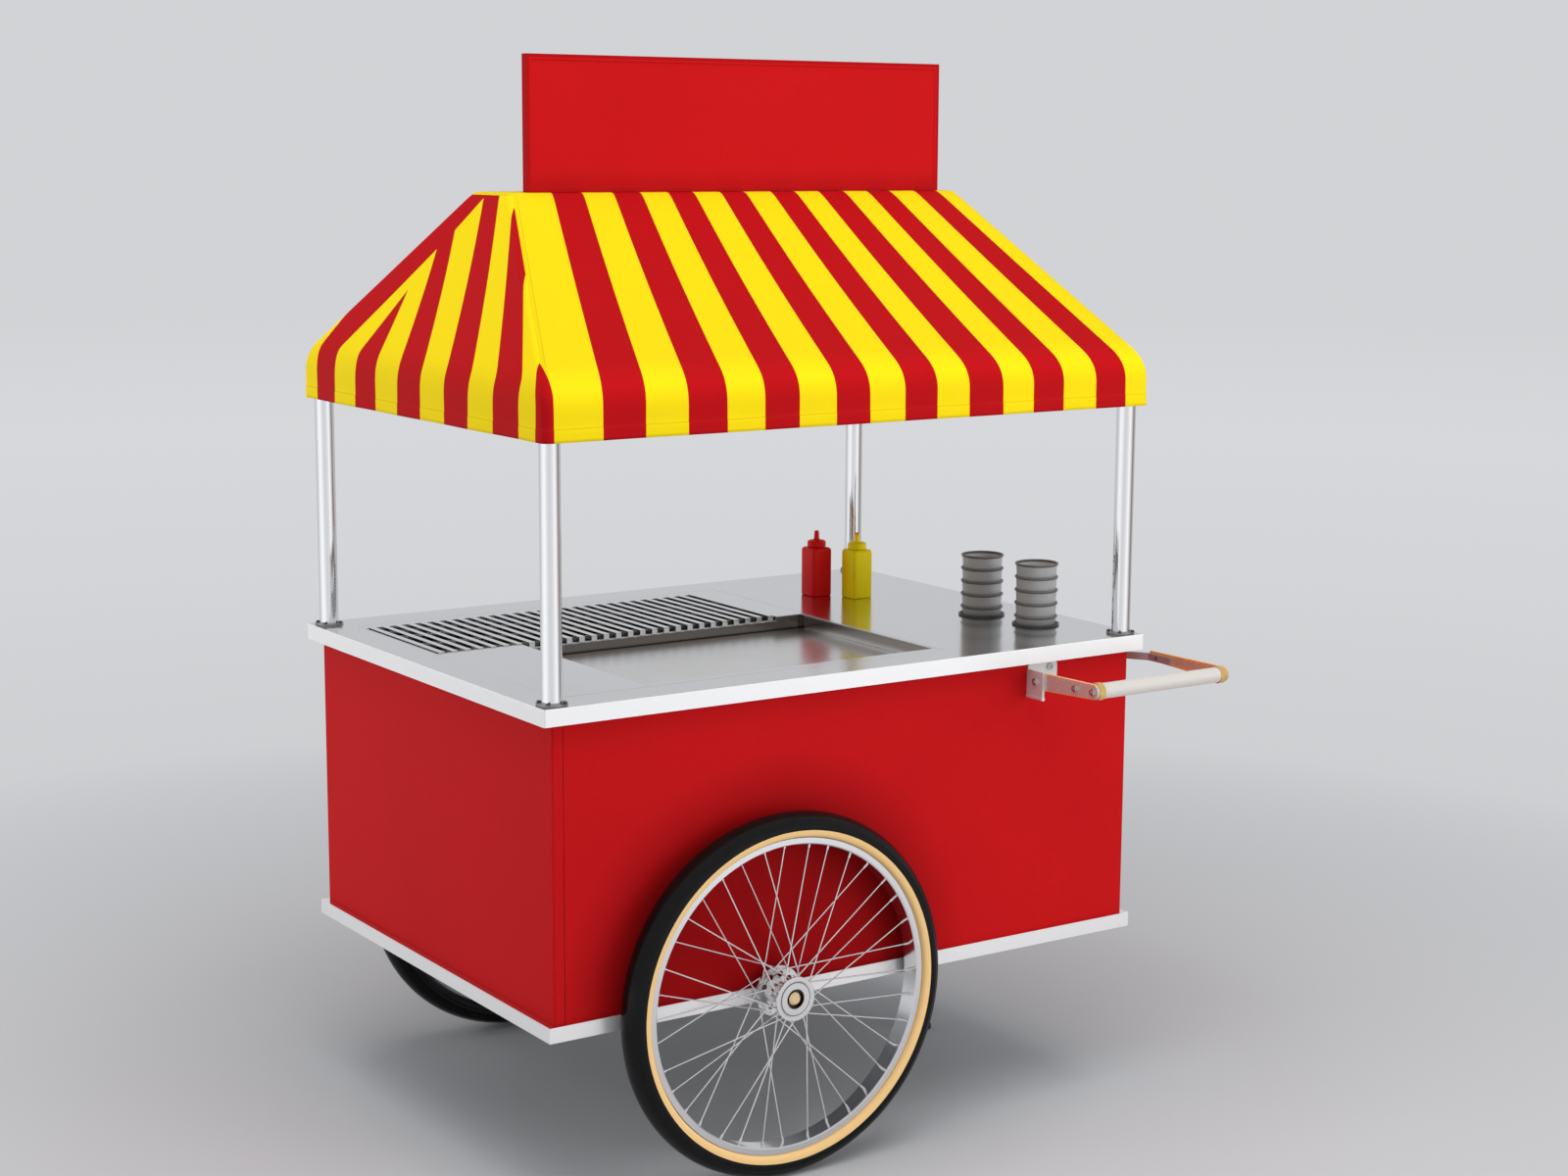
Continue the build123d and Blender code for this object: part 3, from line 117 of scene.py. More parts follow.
class Val:  # one shader value that can stand in a sum
    def __init__(self, kit, socket):
        self.kit, self.socket = kit, socket

    def run(self, operation, *values):
        return self.kit.add("ShaderNodeMath", {"operation": operation}, values)

    def __add__(self, other):
        return self.run("ADD", self, other)

    def __sub__(self, other):
        return self.run("SUBTRACT", self, other)

    def __rsub__(self, other):
        return self.run("SUBTRACT", other, self)

    def __mul__(self, other):
        return self.run("MULTIPLY", self, other)

    def __truediv__(self, other):
        return self.run("DIVIDE", self, other)

    def __pow__(self, other):
        return self.run("POWER", self, other)

    def __lt__(self, other):
        return self.run("LESS_THAN", self, other)

    def __gt__(self, other):
        return self.run("GREATER_THAN", self, other)

    def __abs__(self):
        return self.run("ABSOLUTE", self)

    __radd__, __rmul__ = __add__, __mul__

    def most(self, other):
        return self.run("MAXIMUM", self, other)

    def least(self, other):
        return self.run("MINIMUM", self, other)

    def softMost(self, other, reach):
        return self.run("SMOOTH_MAX", self, other, reach)

    def wave(self):
        return self.run("SINE", self)

    def angle(self, other):
        return self.run("ARCTAN2", self, other)

    def part(self):
        return self.run("FRACT", self)

    def between(self, low, high):
        return (self > low) * (self < high)


class Kit:  # adds nodes to one tree
    def __init__(self, tree):
        self.tree = tree

    def add(self, kind, settings=None, values=(), out=0):
        node = self.tree.nodes.new(kind)
        for name, value in (settings or {}).items():
            if name == "stops":
                self.setStops(node.color_ramp.elements, value)
            elif name == "interpolation":
                node.color_ramp.interpolation = value
            else:
                setattr(node, name, value)
        pairs = values.items() if isinstance(values, dict) else enumerate(values)
        for key, value in pairs:
            self.feed(node.inputs[key], value)
        return Val(self, node.outputs[out])

    def setStops(self, elements, stops):
        for step, (place, tone) in enumerate(stops):
            if step > 1:  # a new ramp has two stops already
                elements.new(place)
            elements[step].position = place
            elements[step].color = (tone, tone, tone, 1)

    def feed(self, socket, value):
        if isinstance(value, Val):
            self.tree.links.new(value.socket, socket)
        else:
            socket.default_value = value


class Finish(Kit):  # one material: a principled shader and what feeds it
    def __init__(self, name, color, roughness=0.5, metallic=0.0, gloss=0.5):
        self.mat = bpy.data.materials.new(name)
        self.mat.use_nodes = True
        super().__init__(self.mat.node_tree)
        self.shader = self.tree.nodes["Principled BSDF"]
        self.put("Base Color", (*color, 1))
        self.put("Roughness", roughness)
        self.put("Metallic", metallic)
        self.put("Specular IOR Level", gloss)
        self.mat.diffuse_color = (*color, 1)

    def put(self, name, value):
        self.feed(self.shader.inputs[name], value)

    def place(self, scale=(1, 1, 1), shift=(0, 0, 0)):
        spot = self.add("ShaderNodeTexCoord", out="Object")
        return self.add("ShaderNodeMapping", {}, {"Vector": spot, "Scale": scale, "Location": shift})

    def axes(self):  # millimetres from the cart's middle
        spot = self.place((1000, 1000, 1000), tuple(-1000 * c for c in cartMid))
        return [self.add("ShaderNodeSeparateXYZ", {}, [spot], out) for out in range(3)]

    def noise(self, scale, detail=3.0, rough=0.55, stretch=(1, 1, 1)):
        return self.add("ShaderNodeTexNoise", {}, {"Vector": self.place(stretch), "Scale": scale,
                                                   "Detail": detail, "Roughness": rough})

    def lineNoise(self, value):
        return self.add("ShaderNodeTexNoise", {"noise_dimensions": "1D"},
                        {"W": value, "Scale": 1.0, "Detail": 3.0})

    def ramp(self, value, *stops):
        return self.add("ShaderNodeValToRGB", {"stops": stops}, [value])

    def fade(self, value):  # from 0 at nought to 1 at one
        return self.ramp(value, (0.0, 0.0), (1.0, 1.0))

    def bands(self, value, reach, pairs):  # 1 inside each pair, 0 outside
        stops = [(0.0, 0.0)]
        for start, end in pairs:
            stops += [((start + reach) / (2 * reach), 1.0), ((end + reach) / (2 * reach), 0.0)]
        return self.add("ShaderNodeValToRGB", {"interpolation": "CONSTANT", "stops": stops},
                        [(value + reach) / (2 * reach)])

    def mix(self, mask, *colors):
        first, second = [c if isinstance(c, Val) else (*c, 1) for c in colors]
        return self.add("ShaderNodeMix", {"data_type": "RGBA"}, {0: mask, 6: first, 7: second}, 2)

    def tones(self, mask, color, low, high):  # one colour, darker and lighter
        return self.mix(mask, shade(color, low), shade(color, high))

    def bump(self, height, strength, distance):
        self.put("Normal", self.add("ShaderNodeBump", {}, {"Strength": strength, "Distance": distance,
                                                           "Height": height}))


def shade(color, factor):
    return tuple(min(1.0, c * factor) for c in color)


# finishes

red = (0.585, 0.009, 0.011)
steel = (0.73, 0.735, 0.745)
longGrain = (6, 900, 900)  # noise drawn out along x
tyreLow, tyreHigh = span("front_tyre")
wheelMid = (tyreLow + tyreHigh) / 2
# painted shade round each wheel on the long sides: metres from the axle, and millimetres out to the long
# sides
wheelShade = {"near": 0.32, "far": 0.46, "side": 440, "depth": 0.85}


def fromAxle(x, z):
    return ((x - wheelMid.x) ** 2 + (z - wheelMid.z) ** 2) ** 0.5


def paintFinish(name, color, roughness=0.4, border=None):
    coat = Finish(name, color, roughness, gloss=0.025)
    broad = coat.noise(2.2, 4)
    speck = coat.noise(60, 5, 0.7)
    x, y, z = coat.axes()
    # painted shade: the paint darkens round each wheel on the long sides, where the tyre shades the panel
    wheelShadeMask = coat.ramp(fromAxle(x, z) / 1000 + broad * 0.06, (wheelShade["near"], 1.0), (wheelShade["far"], 0.0))
    wheelShadeMask = wheelShadeMask * (abs(y) > wheelShade["side"])
    unshaded = coat.tones(coat.ramp(broad * 0.7 + speck * 0.3, (0.3, 0.0), (0.7, 1.0)), color, 0.94, 1.05)
    tone = coat.mix(wheelShadeMask * wheelShade["depth"], unshaded, shade(color, 0.5))
    if border:  # painted shade along the folded edges, and a painted shadow rising from the foot
        inward = (border["half"] - abs(x)).least(border["high"] - z).least(z - border["low"])
        footShadow = coat.ramp((z - border["low"]) / border["wash"], (0.0, 0.5), (1.0, 0.0))
        tone = coat.mix(((inward < border["width"]) * 0.5).most(footShadow), tone, shade(color, 0.5))
    coat.put("Base Color", tone)
    coat.put("Roughness", roughness - 0.05 + broad * 0.06 + speck * 0.05)
    coat.bump(coat.noise(420, 2), 0.05, 0.0006)
    return coat.mat


def brushedFinish(name, color, roughness=0.24, grain=longGrain, metal=1.0):
    coat = Finish(name, color, roughness, metal)
    line = coat.noise(1.0, 4, 0.6, grain)
    smear = coat.ramp(coat.noise(5.0, 4, 0.6), (0.45, 0.0), (0.75, 1.0))
    coat.put("Base Color", coat.tones(line, color, 0.95, 1.04))
    coat.put("Roughness", roughness - 0.05 + line * 0.06 + smear * 0.07)
    coat.bump(line, 0.05, 0.0004)
    return coat.mat


def edgedFinish(name, node, color, glintShare, reach=1.1):  # brushed sheet, with a painted highlight: the outer edges painted white and less metallic
    coat = Finish(name, color, 0.15, 1.0)
    outer = span(node)[1]
    x, y = coat.axes()[:2]
    line = coat.noise(1.0, 4, 0.6, longGrain)
    smear = coat.noise(5.0, 4, 0.6)
    # painted highlight: white along the outer edges stands in for the bright light they reflect; glintShare
    # sets how much metal it replaces
    edge = ((abs(x) > outer.x - reach) + (abs(y) > outer.y - reach)).least(1.0)
    white = coat.mix(smear, (0.92, 0.92, 0.92), (0.98, 0.98, 0.98))
    coat.put("Base Color", coat.mix(edge, coat.tones(line, color, 0.95, 1.04), white))
    coat.put("Metallic", 1 - edge * glintShare)
    brushed = 0.11 + line * 0.06 + coat.ramp(smear, (0.45, 0.0), (0.75, 1.0)) * 0.06
    coat.put("Roughness", brushed * (1 - edge) + (0.26 + smear * 0.06) * edge)
    coat.bump(line * (1 - edge), 0.05, 0.0004)
    return coat.mat


def polishedFinish(name, color, roughness=0.08):
    coat = Finish(name, color, roughness, 1.0)
    smear = coat.noise(22, 5, 0.65)
    coat.put("Roughness", roughness + coat.ramp(smear, (0.5, 0.0), (0.8, 1.0)) * 0.08)
    coat.put("Base Color", coat.tones(smear, color, 0.97, 1.02))
    return coat.mat


def turnedFinish(name, color, roughness, bore=0.0):  # rings round the axle, with painted shade in the bore and in one groove
    coat = Finish(name, color, roughness, 1.0)
    x, y, z = coat.axes()
    reach = fromAxle(x, z)
    ring = coat.lineNoise(reach * 0.9 + y * 0.3)
    coat.put("Roughness", roughness - 0.04 + ring * 0.1)
    # painted shade: near black inside the bore and along one groove round it
    dark = coat.ramp(reach - bore, (0.0, 1.0), (1.0, 0.0)).most(reach.between(bore * 1.66, bore * 1.78) * 0.8)
    coat.put("Base Color", coat.mix(dark, coat.tones(ring, color, 0.86, 1.05), (0.06, 0.045, 0.04)))
    coat.bump(ring, 0.05, 0.0003)
    return coat.mat


def mouldedFinish(name, color, roughness=0.4, grain=700, gloss=0.5):
    coat = Finish(name, color, roughness, gloss=gloss)
    broad = coat.noise(14, 3)
    coat.put("Base Color", coat.tones(broad, color, 0.92, 1.06))
    coat.put("Roughness", roughness - 0.04 + broad * 0.09)
    coat.bump(coat.noise(grain, 2), 0.05, 0.0004)
    return coat.mat


def castFinish(name, color):
    coat = Finish(name, color, 0.72, 0.6)
    grit = coat.noise(260, 4, 0.7)
    coat.put("Base Color", coat.tones(coat.noise(9, 3), color, 0.75, 1.3))
    coat.put("Roughness", 0.62 + grit * 0.2)
    coat.bump(grit, 0.35, 0.0008)
    return coat.mat


# the bar's y, height and half depth at nose and root, and how wide and soft its painted warm edge highlights
# are
arms = {
    "front": {"nose": (-637, 834, 14), "root": (-480, 827, 17), "band": 4.5, "blur": 3,
              "face": (0.74, 0.66, 0.61), "edge": (0.98, 0.60, 0.30)},
    # the end bar's browner face is painted shade, and its orange edges are painted highlights
    "end": {"nose": (-637, 834, 14), "root": (-459, 837, 9), "band": 6.5, "blur": 3,
            "face": (0.68, 0.52, 0.40), "edge": (0.98, 0.50, 0.16)},
}


def armFinish(name, arm):  # polished bar with painted warm highlights along its edges
    coat = Finish(name, arm["face"], 0.3, 0.45)
    (noseY, noseZ, noseHalf), (rootY, rootZ, rootHalf) = arm["nose"], arm["root"]
    y, z = coat.axes()[1:]
    along = ((y - noseY) / (rootY - noseY)).most(0.0).least(1.0)
    middle = noseZ + along * (rootZ - noseZ)
    half = noseHalf + along * (rootHalf - noseHalf)
    # painted highlight: warm light along the top and bottom edges of the bar
    edge = coat.fade((abs(z - middle) - half + arm["band"]) / arm["blur"])
    worn = coat.noise(60, 4, 0.6)
    coat.put("Base Color", coat.mix(edge, coat.tones(worn, arm["face"], 0.9, 1.0), arm["edge"]))
    coat.put("Roughness", 0.2 + worn * 0.12)
    coat.bump(coat.noise(1.0, 3, 0.6, (300, 12, 300)), 0.05, 0.0003)
    return coat.mat


pan = {"floor": 863, "stained": 12, "grillSide": 45,  # heights, and the y where the grill's wall begins
       "steel": (0.80, 0.80, 0.79), "wall": (0.40, 0.37, 0.34), "browned": (0.19, 0.168, 0.155)}


def panFinish(name):  # bright floor; walls darker as painted shade, the wall by the grill near black as a painted reflection of the canopy's dark underside
    coat = Finish(name, pan["steel"], 0.2, 1.0)
    y, z = coat.axes()[1:]
    stain = coat.noise(7, 4, 0.6)
    line = coat.noise(1.0, 4, 0.6, longGrain)
    byGrill = y > pan["grillSide"]
    onWall = coat.fade((z - pan["floor"]) / pan["stained"] + stain * 0.3 - 0.1).most(byGrill)
    # painted shade on the walls, and a painted reflection of the dark canopy underside on the wall by the
    # grill
    wall = coat.mix(byGrill, coat.tones(stain, pan["wall"], 0.8, 1.0), pan["browned"])
    coat.put("Base Color", coat.mix(onWall, coat.tones(stain, pan["steel"], 0.93, 1.0), wall))
    coat.put("Roughness", 0.15 + line * 0.05 + stain * 0.08)
    coat.bump(line, 0.05, 0.0004)
    return coat.mat


signLow, signHigh = span("sign_panel")
# the sign's painted shade: a darker band along its folded edges, and a painted shadow rising from its foot
signBorder = {"half": signHigh.x, "low": signLow.z, "high": signHigh.z, "width": 6, "wash": 40}
finishes = {  # by material slot
    "red_paint": paintFinish("cabinetRed", red),
    "stainless": brushedFinish("counterSteel", steel, 0.15),
    "inner_steel": brushedFinish("innerSteel", (0.55, 0.56, 0.57), 0.36, (40, 40, 40)),
    "burner_iron": castFinish("burnerIron", (0.10, 0.10, 0.105)),
    "valve_brass": brushedFinish("valveBrass", (0.78, 0.57, 0.26), 0.28, (300, 30, 300)),
    "post_chrome": polishedFinish("postChrome", (0.90, 0.90, 0.91), 0.06),
    "dark_screw": polishedFinish("darkScrew", (0.10, 0.10, 0.11), 0.3),
    "frame_aluminium": brushedFinish("frameAluminium", (0.72, 0.73, 0.74), 0.34, (200, 200, 20)),
    "sign_red": paintFinish("signRed", shade(red, 0.95), 0.42, signBorder),
    "bright_trim": edgedFinish("baseTrim", "base_frame", (0.90, 0.90, 0.90), 0.5),
    "spoke_steel": polishedFinish("spokeSteel", (0.86, 0.86, 0.86), 0.16),
    "bearing_steel": polishedFinish("bearingSteel", (0.42, 0.42, 0.43), 0.3),
    "axle_steel": polishedFinish("axleSteel", (0.62, 0.62, 0.63), 0.24),
    "nut_brass": polishedFinish("nutBrass", (0.95, 0.72, 0.40), 0.24),
    "handle_steel": brushedFinish("handleSteel", (0.84, 0.82, 0.80), 0.2, (300, 10, 300)),
    "grip_satin": brushedFinish("gripSatin", (0.88, 0.83, 0.77), 0.22, (8, 600, 600), 0.6),
    "ring_gold": polishedFinish("ringGold", (0.98, 0.66, 0.22), 0.2),
    "sleeve_dark": mouldedFinish("sleeveDark", (0.05, 0.05, 0.052), 0.4),
    "foot_rubber": mouldedFinish("footRubber", (0.02, 0.02, 0.02), 0.8, 400),
    "rim_silver": turnedFinish("rimSilver", (0.84, 0.84, 0.85), 0.16),
    "hub_silver": turnedFinish("hubSilver", (0.86, 0.86, 0.86), 0.18, 17.5),
}
finishes.update({  # by node, where one piece differs from its slot
    "countertop": edgedFinish("counterTop", "countertop", steel, 0.88),
    "steam_pan": panFinish("panSteel"),
    "post_flanges": polishedFinish("flangeSteel", (0.30, 0.29, 0.285), 0.24),
    "handle_arm_front": armFinish("frontArm", arms["front"]),
    "handle_arm_end": armFinish("endArm", arms["end"]),
    "handle_bracket_front": brushedFinish("frontBracket", (0.76, 0.74, 0.73), 0.34, (300, 300, 20), 0.4),
    # the end bracket's dark red-brown is painted shade on the same bracket steel
    "handle_bracket_end": brushedFinish("endBracket", (0.42, 0.30, 0.28), 0.36, (300, 300, 20), 0.4),
})
print("finishes ready:", len(finishes))


# piece kit

def toPiece(name, bm, node, sharp=32, turnOut=True):
    bmesh.ops.remove_doubles(bm, verts=bm.verts, dist=1e-5)
    if turnOut:
        bmesh.ops.recalc_face_normals(bm, faces=bm.faces)
    for face in bm.faces:
        face.smooth = True
    for edge in bm.edges:
        edge.smooth = len(edge.link_faces) != 2 or edge.calc_face_angle(0) < radians(sharp)
    mesh = bpy.data.meshes.new(name)
    bm.to_mesh(mesh)
    bm.free()
    mesh.materials.append(finishes.get(node) or finishes[slotOf[node]])
    piece = bpy.data.objects.new(name, mesh)
    scene.collection.objects.link(piece)
    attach(piece, body_of(nodes[node])[0])
    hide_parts(node)
    return piece


def lathe(bm, foot, aim, profile, steps=48, closed=False):  # profile: radius and height in mm
    aim = Vector(aim).normalized()
    out = aim.orthogonal().normalized()
    row = [bm.verts.new(foot + (out * radius + aim * height) / 1000) for radius, height in profile]
    edges = [bm.edges.new(pair) for pair in zip(row, row[1:])]
    if closed:
        edges.append(bm.edges.new((row[-1], row[0])))
    bmesh.ops.spin(bm, geom=row + edges, cent=foot, axis=aim, angle=2 * pi, steps=steps, use_merge=True)


def roundOff(bm, edges, width, steps, clamp=False):  # width in mm
    bmesh.ops.bevel(bm, geom=edges, offset=width / 1000, affect="EDGES", segments=steps, profile=0.5,
                    material=-1, clamp_overlap=clamp)


def footOf(node):  # middle of a node's underside
    low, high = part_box(node)
    return Vector(((low.x + high.x) / 2, (low.y + high.y) / 2, low.z))


def camel(name):
    first, *rest = name.split("_")
    return first + "".join(word.capitalize() for word in rest)


# edges that a press brake, a file or a mould leaves round, in mm

softEdges = {
    "base_frame": 1.2, "front_panel": 0.5, "rear_panel": 0.5, "left_panel": 0.5, "right_panel": 0.5,
    "countertop": 1.4, "cooktop_plate": 0.5, "grill_well": 0.6, "steam_pan": 0.9, "post_flanges": 0.8,
    "sign_panel": 0.9, "sign_legs": 0.8, "axle_nuts": 0.8, "handle_bracket_front": 0.8,
    "handle_bracket_end": 0.8, "handle_arm_front": 0.8, "handle_arm_end": 0.8, "handle_rings": 1.0,
    "cup_sleeves": 0.8, "leg_bracket": 0.8, "door_hinges": 0.5, "stand_leg": 0.8, "leg_foot": 2.0,
    "door_panel": 0.5, "door_pull": 0.8, "grill_grate": 2.2, "canopy_frame": 0.8, "gas_valves": 0.5,
    "corner_angles": 0.5,
}


def mergedCopy(node):  # a bmesh of a CAD piece with its loose triangles joined
    bm = bmesh.new()
    bm.from_mesh(nodes[node].data)
    bmesh.ops.remove_doubles(bm, verts=bm.verts, dist=2e-5)
    return bm


def softCopy(node, width):
    bm = mergedCopy(node)
    bmesh.ops.dissolve_limit(bm, angle_limit=radians(1), verts=bm.verts, edges=bm.edges)
    crisp = [edge for edge in bm.edges if len(edge.link_faces) == 2 and edge.calc_face_angle(0) > radians(30)]
    roundOff(bm, crisp, width, 2, True)
    piece = toPiece(camel(node), bm, node, 40, False)
    even = piece.modifiers.new("evenShade", "WEIGHTED_NORMAL")
    even.keep_sharp = True


for node, width in softEdges.items():
    softCopy(node, width)
print("soft edges on", len(softEdges), "pieces")


# spokes

spokes = {"nodes": ("front_spokes", "rear_spokes"), "growth": 0.0003}  # a little thicker, as the photo shows


def buildSpokes(node):
    piece = toPiece(camel(node), mergedCopy(node), node, 40, False)
    grow = piece.modifiers.new("grow", "DISPLACE")
    grow.strength, grow.mid_level = spokes["growth"], 0.0


for node in spokes["nodes"]:
    buildSpokes(node)
print("spokes ready")


# canopy

canopy = {
    "half": (645, 476), "crown": (488, 75),  # eave and flat top, from the middle
    "foot": 1328, "hem": 1350, "shoulder": 1412, "top": 1721,  # heights
    "hemRows": (0, 6, 13, 20.5, 23, 32, 41), "hemProud": 0.6,
    "bend": (34, 23.8), "bendSteps": 8,  # how far the bend reaches below and above the shoulder
    "slopeSteps": 11, "lip": (16, 6), "lipSteps": 6, "flat": 5,  # the lip rolls up and in to the flat top
    "corner": 16, "cornerSteps": 6, "cuts": (63, 45), "inset": 22,
    "sag": (4, 7), "sagTo": 0.98, "ripple": 1.2, "waves": ((41, 0.7), (47, 1.9)), "cloth": 0.0016,
}
stripes = {
    "yellow": (0.97, 0.735, 0.007), "red": (0.49, 0.005, 0.008), "thread": (0.30, 0.05, 0.01),
    "front": [(-541, -457), (-377, -298), (-222, -148), (-74, 0), (72, 145), (218, 290), (364, 437),
              (510, 581)], "reach": 700,
    # where each end stripe's edges start on the valance and how they lean up the slope
    "ends": {"first": ((-387, 0.901), (-297, 0.7266)), "second": ((-208, 0.597), (-116, 0.4748)),
             "arch": ((-25, 0.4545), (413, -0.8)), "gap": ((66, 0.2632), (331, -1.1316)),
             "inner": ((158, 0.0171), (242, -0.7009))},
    "leanFrom": 1428, "leanEase": 16, "archTop": (82, 1648, 1.016),  # the arch's left edge turns back there
    "dart": {"wide": (17, 29), "from": 1400, "tall": 62, "curve": 1.7},  # red wedge at the front left corner
    # painted shade on the long slopes: the height it takes to set in above the shoulder, and the share of
    # light it leaves
    "dustOver": 40, "dusty": 0.83,
    "stitch": {"half": 0.7, "pitch": 5.5, "share": 0.72},
    "welt": {"width": 11, "seam": 9, "from": 1440, "clear": 8}, "weave": 3.1,
}


def canopySlopes():  # how far the ends and the long sides come in per mm of height
    run = canopy["top"] - canopy["shoulder"]
    return [(half - crown) / run for half, crown in zip(canopy["half"], canopy["crown"])]


def halvesAt(z):  # half length and half depth of the canopy at a shader's height
    shoulder, (below, above) = canopy["shoulder"], canopy["bend"]
    onSlope = z > shoulder + above
    up = (z.least(shoulder + above) - (shoulder - below)).most(0.0)
    turn = (below - (below ** 2 - (below - above) * up) ** 0.5) / (below - above)
    rise = turn * turn * above * (1 - onSlope) + (z - shoulder).least(canopy["top"] - shoulder) * onSlope
    return [half - rise * slope for half, slope in zip(canopy["half"], canopySlopes())]


def endStripes(y, z):
    up = (z - stripes["leanFrom"]).softMost(0.0, stripes["leanEase"])
    first, second, arch, gap, inner = [[start + up * lean for start, lean in pair]
                                       for pair in stripes["ends"].values()]
    place, height, lean = stripes["archTop"]
    inArch = y.between(arch[0].least(place - lean * (z - height)), arch[1])
    return y.between(*first) + y.between(*second) + inArch * (1 - y.between(*gap)) + y.between(*inner)


def cornerDart(x, y, z, halfX, halfY):
    dart = stripes["dart"]
    narrow = (1 - ((z - dart["from"]).most(0.0) / dart["tall"]) ** dart["curve"]).most(0.0)
    wideX, wideY = dart["wide"]
    return ((x + halfX) < narrow * wideX) * ((y + halfY) < narrow * wideY) * (x < 0) * (y < 0)


def clothFinish():  # striped awning cloth: the stripes follow the slopes
    coat = Finish("awningCloth", stripes["yellow"], 0.6, gloss=0.06)
    x, y, z = coat.axes()
    halfX, halfY = halvesAt(z)
    insideX, insideY = halfX - abs(x), halfY - abs(y)
    onEnd = (insideX < insideY) * (z < canopy["top"] - canopy["flat"])
    frontRed = coat.bands(x * canopy["half"][0] / halfX, stripes["reach"], stripes["front"])
    isRed = frontRed * (1 - onEnd) + endStripes(y, z) * onEnd
    isRed = isRed.most(cornerDart(x, y, z, halfX, halfY)).least(1.0)
    dye = coat.noise(9, 4) * 0.7 + coat.noise(130, 3) * 0.3

    # striped(1.0) is the cloth's own colour; a factor below 1 gives the painted shade of the long slopes
    def striped(unshaded):
        yellow, dark = shade(stripes["yellow"], unshaded), shade(stripes["red"], unshaded)
        return coat.mix(isRed, coat.tones(dye, yellow, 0.95, 1.0), coat.tones(dye, dark, 0.9, 1.06))

    dusty = coat.fade((z - canopy["shoulder"]) / stripes["dustOver"]) * (1 - onEnd)  # painted shade on the long slopes
    tone = coat.mix(dusty, striped(1.0), striped(stripes["dusty"]))
    along = x * (1 - onEnd) + y * onEnd
    seam, welt = stripes["stitch"], stripes["welt"]
    stitch = z.between(canopy["hem"] - seam["half"], canopy["hem"] + seam["half"])
    stitch = stitch * ((along / seam["pitch"]).part() < seam["share"])
    fromHip = abs(insideX - insideY)
    raised = (fromHip < welt["width"]) * z.between(welt["from"], canopy["top"] - welt["clear"]) * (1 - onEnd)
    sewn = raised * (fromHip > welt["seam"])
    coat.put("Base Color", coat.mix((stitch + sewn * 0.8).least(1.0) * 0.35, tone, stripes["thread"]))
    weave = (along * stripes["weave"]).wave() * ((z + y * 0.6) * stripes["weave"]).wave()
    coat.put("Roughness", 0.55 + dye * 0.1)
    coat.bump(weave * 0.35 + coat.noise(30, 3) * 0.4 + raised - (stitch + sewn) * 0.8, 0.12, 0.0006)
    return coat.mat


def canopyLevels():  # height and how far the sides have come in, from hem to crown
    shoulder, top = canopy["shoulder"], canopy["top"]
    (below, above), (lipUp, lipIn) = canopy["bend"], canopy["lip"]
    rows = []
    for up in canopy["hemRows"]:
        z = canopy["foot"] + up
        rows.append((z, -canopy["hemProud"] if z < canopy["hem"] else 0.0))
    for step in range(canopy["bendSteps"] + 1):
        t = step / canopy["bendSteps"]
        z = (1 - t) ** 2 * (shoulder - below) + 2 * t * (1 - t) * shoulder + t * t * (shoulder + above)
        rows.append((z, t * t * above))
    for step in range(1, canopy["slopeSteps"]):
        z = shoulder + above + step / canopy["slopeSteps"] * (top - lipUp - shoulder - above)
        rows.append((z, z - shoulder))
    for step in range(canopy["lipSteps"] + 1):
        t = step / canopy["lipSteps"]
        z = top - lipUp * (1 - t) ** 2
        rows.append((z, z - shoulder + lipIn * t * t))
    return rows


def side(value):
    return 1 if value > 0 else -1


def startHem(bm, size, z):  # the hem's outline, its corners rounded and its sides cut short
    bmesh.ops.create_grid(bm, x_segments=1, y_segments=1, size=1)
    bmesh.ops.scale(bm, vec=(*size, 1), verts=bm.verts)
    bmesh.ops.bevel(bm, geom=bm.verts[:], offset=canopy["corner"], affect="VERTICES",
                    segments=canopy["cornerSteps"], profile=0.5, material=-1)
    bmesh.ops.delete(bm, geom=bm.faces[:], context="FACES_ONLY")
    for axis, cuts in enumerate(canopy["cuts"]):
        long = [edge for edge in bm.edges if abs((edge.verts[0].co - edge.verts[1].co)[axis]) > size[axis]]
        bmesh.ops.subdivide_edges(bm, edges=long, cuts=cuts)
    for vert in bm.verts:
        vert.co.z = z
    return bm.edges[:]


def raiseRow(bm, loop, z, old, new):  # one row up: the sides shorten and the corners keep their size
    made = bmesh.ops.extrude_edge_only(bm, edges=loop)["geom"]
    for vert in [part for part in made if isinstance(part, bmesh.types.BMVert)]:
        for axis in (0, 1):
            place = vert.co[axis]
            was, now = old[axis] - canopy["corner"], new[axis] - canopy["corner"]
            onSide = abs(place) <= was + 1e-4
            vert.co[axis] = place * now / was if onSide else place + (now - was) * side(place)
        vert.co.z = z
    edges = [part for part in made if isinstance(part, bmesh.types.BMEdge)]
    return [edge for edge in edges if all(abs(vert.co.z - z) < 1e-4 for vert in edge.verts)]


